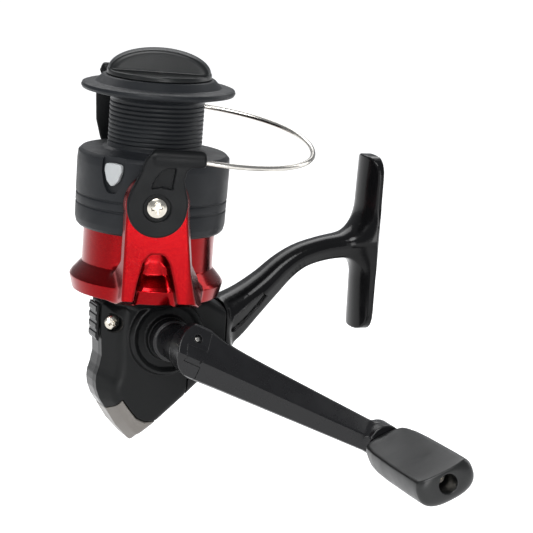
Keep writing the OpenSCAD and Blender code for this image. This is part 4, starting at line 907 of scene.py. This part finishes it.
def switchField(p):
    s = switchSet
    q = onSwitch(p)
    tab = box(q, *s["tab"], 0.25)
    low, high = s["rib"]
    for z in s["ribs"]:
        tab = joined(tab, box(q, (*low, z - s["ribHalf"]), (*high, z + s["ribHalf"]), 0.35), 0.2)
    return np.minimum(np.minimum(tab, box(q, *s["stalk"])), box(q, *s["keeper"]))


# Handle: arm with a ridge along its front, folding in a round head on a stepped shank. u runs along the arm,
# w out from the reel, n across the arm

handleSet = {
    "back": 28, "deep": 8, "head": 8.6, "headU": 2.4, "headN": 1.5, "up": 8.6, "down": 6.9, "seam": 3.2,
    "long": 63.7, "splay": 10, "bend": 1.3, "upLoss": 2.9, "downLoss": 1.9, "fade": 6, "short": 2,
    "backGap": 0.6, "tip": (5.5, 38, 46), "spindle": 2, "spindleFrom": 39.5, "neck": (5.4, 12.9, 28.4),
    "collar": (6.4, 12.9, 16.3), "rod": (1.2, -14.2, 14), "pinU": -0.5, "pinY": 33.4,
    "pin": (1.08, -5.6, 1.2), "pinBore": (1.1, -5.7, 1.3), "armBore": (1.15, -9, 1.3), "knuckle": 3.7,
    "eye": 3.3, "tongue": 2.4, "tongueBack": 2.3, "tongueEnd": 0.6, "gap": 0.06, "eyeGap": 0.04,
    "slotHalf": 2.43, "dimple": (1.3, -1.1, 3), "dimpleAt": (-0.7, 33, 4.9), "dimpleLean": (0.886, 0.464),
    "rivet": (0.75, -1.6, -0.45), "ridgeN": -0.69, "bevelUp": 0.524, "bevelDown": -0.254, "stretch": 1.15,
    "slope": 0.75,
    "section": fillet([(0, -0.75), (0, 0.8), (0.3, 1), (0.42, 0.95), (1, -0.1), (0.82, -0.92),
                       (0.6, -1)], 0.05, 3)}


def ridgeSection(w, n, deep, up, down):
    # The arm's section has unit size; here w starts at the back of the arm
    s = handleSet
    v = np.where(n > 0, n / up, n / down)
    outline = [(a * s["stretch"], b) for a, b in s["section"]]
    return polyDist(w / deep * s["stretch"], v, outline) * np.minimum(deep, up + down) * s["slope"]


def aroundPin(u, w):
    # Distance from the fold pin, and the quarter in front of it that swings with the arm
    s = handleSet
    return np.hypot(u - s["pinU"], w - s["pinY"]), np.maximum(s["pinU"] - u, s["pinY"] - w)


def onDimple(u, w, n):
    # Round hole in the head's upper bevel: height along its axis and distance from the axis
    s = handleSet
    low = np.array([k - c for k, c in zip((u, w, n), s["dimpleAt"])])
    deep = s["dimpleLean"][0] * low[1] + s["dimpleLean"][1] * low[2]
    return deep, np.sqrt(np.maximum((low ** 2).sum(0) - deep ** 2, 0))


def foldPinField(p):
    s = handleSet
    u, w, n = p[:, 0], -p[:, 1], p[:, 2]
    deep, off = onDimple(u, w, n)
    return np.minimum(bar(aroundPin(u, w)[0], n, s["pin"]), bar(off, deep, s["rivet"], 0.25))


def shankField(p):
    s = handleSet
    u, w, n = p[:, 0], -p[:, 1], p[:, 2]
    across = np.hypot(u, n)
    section = ridgeSection(w - s["back"], n, s["deep"], s["up"], s["down"])
    disc = np.hypot(u - s["headU"], n - s["headN"]) - s["head"]
    end = np.where(u < s["headU"], disc, np.abs(n - s["headN"]) - s["head"])
    head = np.maximum(both(section, end, 0.4), u - s["seam"] + s["gap"])
    neck = bar(across, w, s["neck"], 0.2)
    whole = np.minimum(joined(head, neck, 0.8), joined(neck, bar(across, w, s["collar"], 0.4), 0.6))
    whole = np.minimum(whole, bar(across, w, s["rod"]))
    pin, front = aroundPin(u, w)
    slot = np.minimum(pin - s["eye"] - s["eyeGap"], np.maximum(s["pinU"] - u, s["pinY"] - s["eye"] - w))
    whole = less(whole, np.maximum(slot, np.abs(n) - s["slotHalf"]),
                 np.maximum(front, s["knuckle"] - s["gap"] - pin),
                 bar(pin, n, s["pinBore"]))
    deep, off = onDimple(u, w, n)
    return cut(whole, bar(off, deep, s["dimple"]), 0.2)


def handleArmField(p):
    s = handleSet
    u, w, n = p[:, 0], -p[:, 1], p[:, 2]
    k = np.clip((u - s["seam"]) / (s["long"] - s["short"] - s["seam"]), 0, 1)
    out = s["splay"] * k ** s["bend"]
    fade = np.exp(-np.maximum(u - s["seam"], 0) / s["fade"])
    up = s["down"] - s["upLoss"] * k + (s["up"] - s["down"]) * fade
    section = ridgeSection(w - s["back"] - out, n, s["deep"], up, s["down"] - s["downLoss"] * k)
    pin, front = aroundPin(u, w)
    start = np.minimum(s["seam"] - u, np.maximum(front, s["knuckle"] - pin))
    beam = np.maximum(both(section, u - s["long"] + s["short"], 0.3), start)
    beam = np.maximum(beam, s["back"] + s["backGap"] - w)
    across = np.hypot(u - s["long"], n)
    tip = bar(across, w, s["tip"], 0.5)
    # The tongue's eye fills the slot; in front of it the tongue stops short, or it would meet the head when
    # folded
    rise = n - s["ridgeN"]
    face = s["back"] + s["deep"] - s["pinY"] - np.where(rise > 0, s["bevelUp"] * rise, s["bevelDown"] * rise)
    clear = np.where(w > s["pinY"], face + s["gap"], 0)
    link = np.maximum(s["pinU"] + clear - u, u - s["seam"] - s["tongueEnd"])
    link = np.maximum(link, s["pinY"] - s["tongueBack"] - w)
    tongue = np.maximum(np.minimum(pin - s["eye"], link), np.maximum(np.abs(n) - s["tongue"], section))
    whole = np.minimum(joined(beam, tip, 1.6), tongue)
    return less(whole, bar(pin, n, s["armBore"]), np.maximum(across - s["spindle"], s["spindleFrom"] - w))


# Knob: paddle with one broad flat face, and a hole in its end for the screw

paddleSet = {
    "near": 46.3, "long": 42, "cell": 0.34, "lean": math.radians(25), "drift": 0.5, "power": 2.6,
    "neck": 4.5, "neckLong": 6, "neckUnder": 0.2, "bore": 2.05, "hole": 2.85, "holeDeep": 8.7,
    "clear": 120, "slope": 0.85,
    "at": [0, 0.02, 0.05, 0.1, 0.2, 0.36, 0.55, 0.75, 0.9, 1],
    "wides": [5.6, 6.4, 7.1, 7.7, 8.3, 8.7, 8.9, 9.1, 9.2, 9.1],
    "thicks": [5, 5.4, 5.8, 6.1, 6.3, 6.4, 6.3, 6.2, 6, 5.9],
    "flats": [3.6, 3.6, 3.7, 3.7, 3.8, 3.9, 3.9, 4, 4.1, 4.1]}


def paddleField(p):
    s = paddleSet
    across = p - np.array([handleSet["long"], 0, 0])
    c, n = math.cos(handleTurn), math.sin(handleTurn)
    dx, dz = c * across[:, 0] + n * across[:, 2], c * across[:, 2] - n * across[:, 0]
    c, n = math.cos(s["lean"]), math.sin(s["lean"])
    wide, thick = c * dx + n * dz, c * dz - n * dx
    t = (-p[:, 1] - s["near"]) / s["long"]
    wide = wide + s["drift"] * (1 - np.clip(t, 0, 1))
    w, h, flat = (np.interp(t, s["at"], s[k]) for k in ("wides", "thicks", "flats"))
    level = (np.abs(wide) / w) ** s["power"] + (np.abs(thick) / h) ** s["power"]
    body = (level ** (1 / s["power"]) - 1) * np.minimum(w, h) * s["slope"]
    ends = np.maximum(s["near"] + p[:, 1], -p[:, 1] - s["near"] - s["long"])
    whole = cut(both(body, ends, 2.6), flat - thick, 0.5)
    off = np.hypot(dx, dz)
    neck = extrude(off - s["neck"], -p[:, 1], s["near"], s["near"] + s["neckLong"], 0.4)
    whole = np.minimum(whole, np.maximum(neck, thick - flat + s["neckUnder"]))
    whole = less(whole, off - s["bore"])
    hole = extrude(off - s["hole"], -p[:, 1], s["near"] + s["long"] - s["holeDeep"], s["clear"])
    return cut(whole, hole, 0.5)


print("fields ready")

makeSpool()
carve("lineClip", clipField, (-3.2, 21.2, 45.6), (3.2, 23.4, 54.6), clipSet["cell"],
      clipPaint, "spool_unit", ["line_clip"], onClip)
carve("dragKnobTop", knobField, (-15.6, -15.6, 72.3), (15.6, 15.6, 85.6), 0.24,
      dragPlastic, "drag_unit", ["drag_knob"])
print("spool done")
carve("rotorShell", rotorField, (-25, -29.6, 12), (25, 29.6, 52), rotorSet["cell"],
      redLacquer, "rotor_unit", ["rotor"], spun)
carve("bailArmFront", frontArmField, (-9, -30.6, 33.8), (14, -26, 60), armSet["cell"],
      armPlastic, "bail", ["bail_arm"], spun)
carve("bailArmRear", rearArmField, (-18, 23.8, 33.8), (9.2, 32.6, 77.4), armSet["cell"],
      armPlastic, "bail", ["roller_arm"], spun)
makeWire()
pivotSpots = [((0, f * armSet["seat"], pivotHeight), (0, f, 0), turn) for f, turn in ((-1, 0.2), (1, 0.9))]
makeScrews("pivotScrewPair", pivotSpots, (2.95, 1.3, 1, 5.2),
           nickel, "rotor_unit", ["pivot_screws"], spun)
print("rotor and bail done")
bodyLow = (-19.2, -17.4, -35)
carve("housingFrame", frameField, bodyLow, (73.2, 17.4, 56), bodySet["cell"],
      glossPlastic, "frame", ["body_frame"])
carve("housingCover", coverField, bodyLow, (24, 0, 17), bodySet["cell"],
      coverPlastic, "frame", ["side_cover"])
carve("housingTail", tailField, (-14.6, -10.4, -35), (12, 10.4, -17), bodySet["cell"],
      greyPaint, "frame", ["tail_guard"])
carve("reverseTab", switchField, (-17.4, -4, -3.2), (-12, 4, 9.6), switchSet["cell"],
      glossPlastic, "switch", ["anti_reverse_switch"])
coverSpots = [((x, f * seat, z), (0, f, 0), turn) for x, z, seat, f, turn in screwSet["spots"]]
makeScrews("coverScrewSet", coverSpots, (2.2, 1.4, 0.8, 9.8),
           nickel, "frame", ["cover_screws"])
print("housing done")
carve("handleCrank", shankField, (-7.6, -36.6, -8), (7.6, 14.6, 10.4), 0.22,
      handlePaint, "crank", ["handle_shank"], swung, handleAxis)
carve("foldPin", foldPinField, (-1.8, -34.8, -5.8), (0.8, -31, 5.4), 0.12,
      steelWire, "crank", ["fold_pin"], swung, handleAxis)
carve("handleLever", handleArmField, (-4.2, -46.6, -8), (69.8, -27.4, 9.6), 0.24,
      handlePaint, "arm", ["handle_arm"], swung, handleAxis)
carve("handlePaddle", paddleField, (53, -88.8, -11), (74.4, -45.8, 11), paddleSet["cell"],
      knobRubber, "knob", ["handle_knob"], swung, handleAxis)
print("handle done")
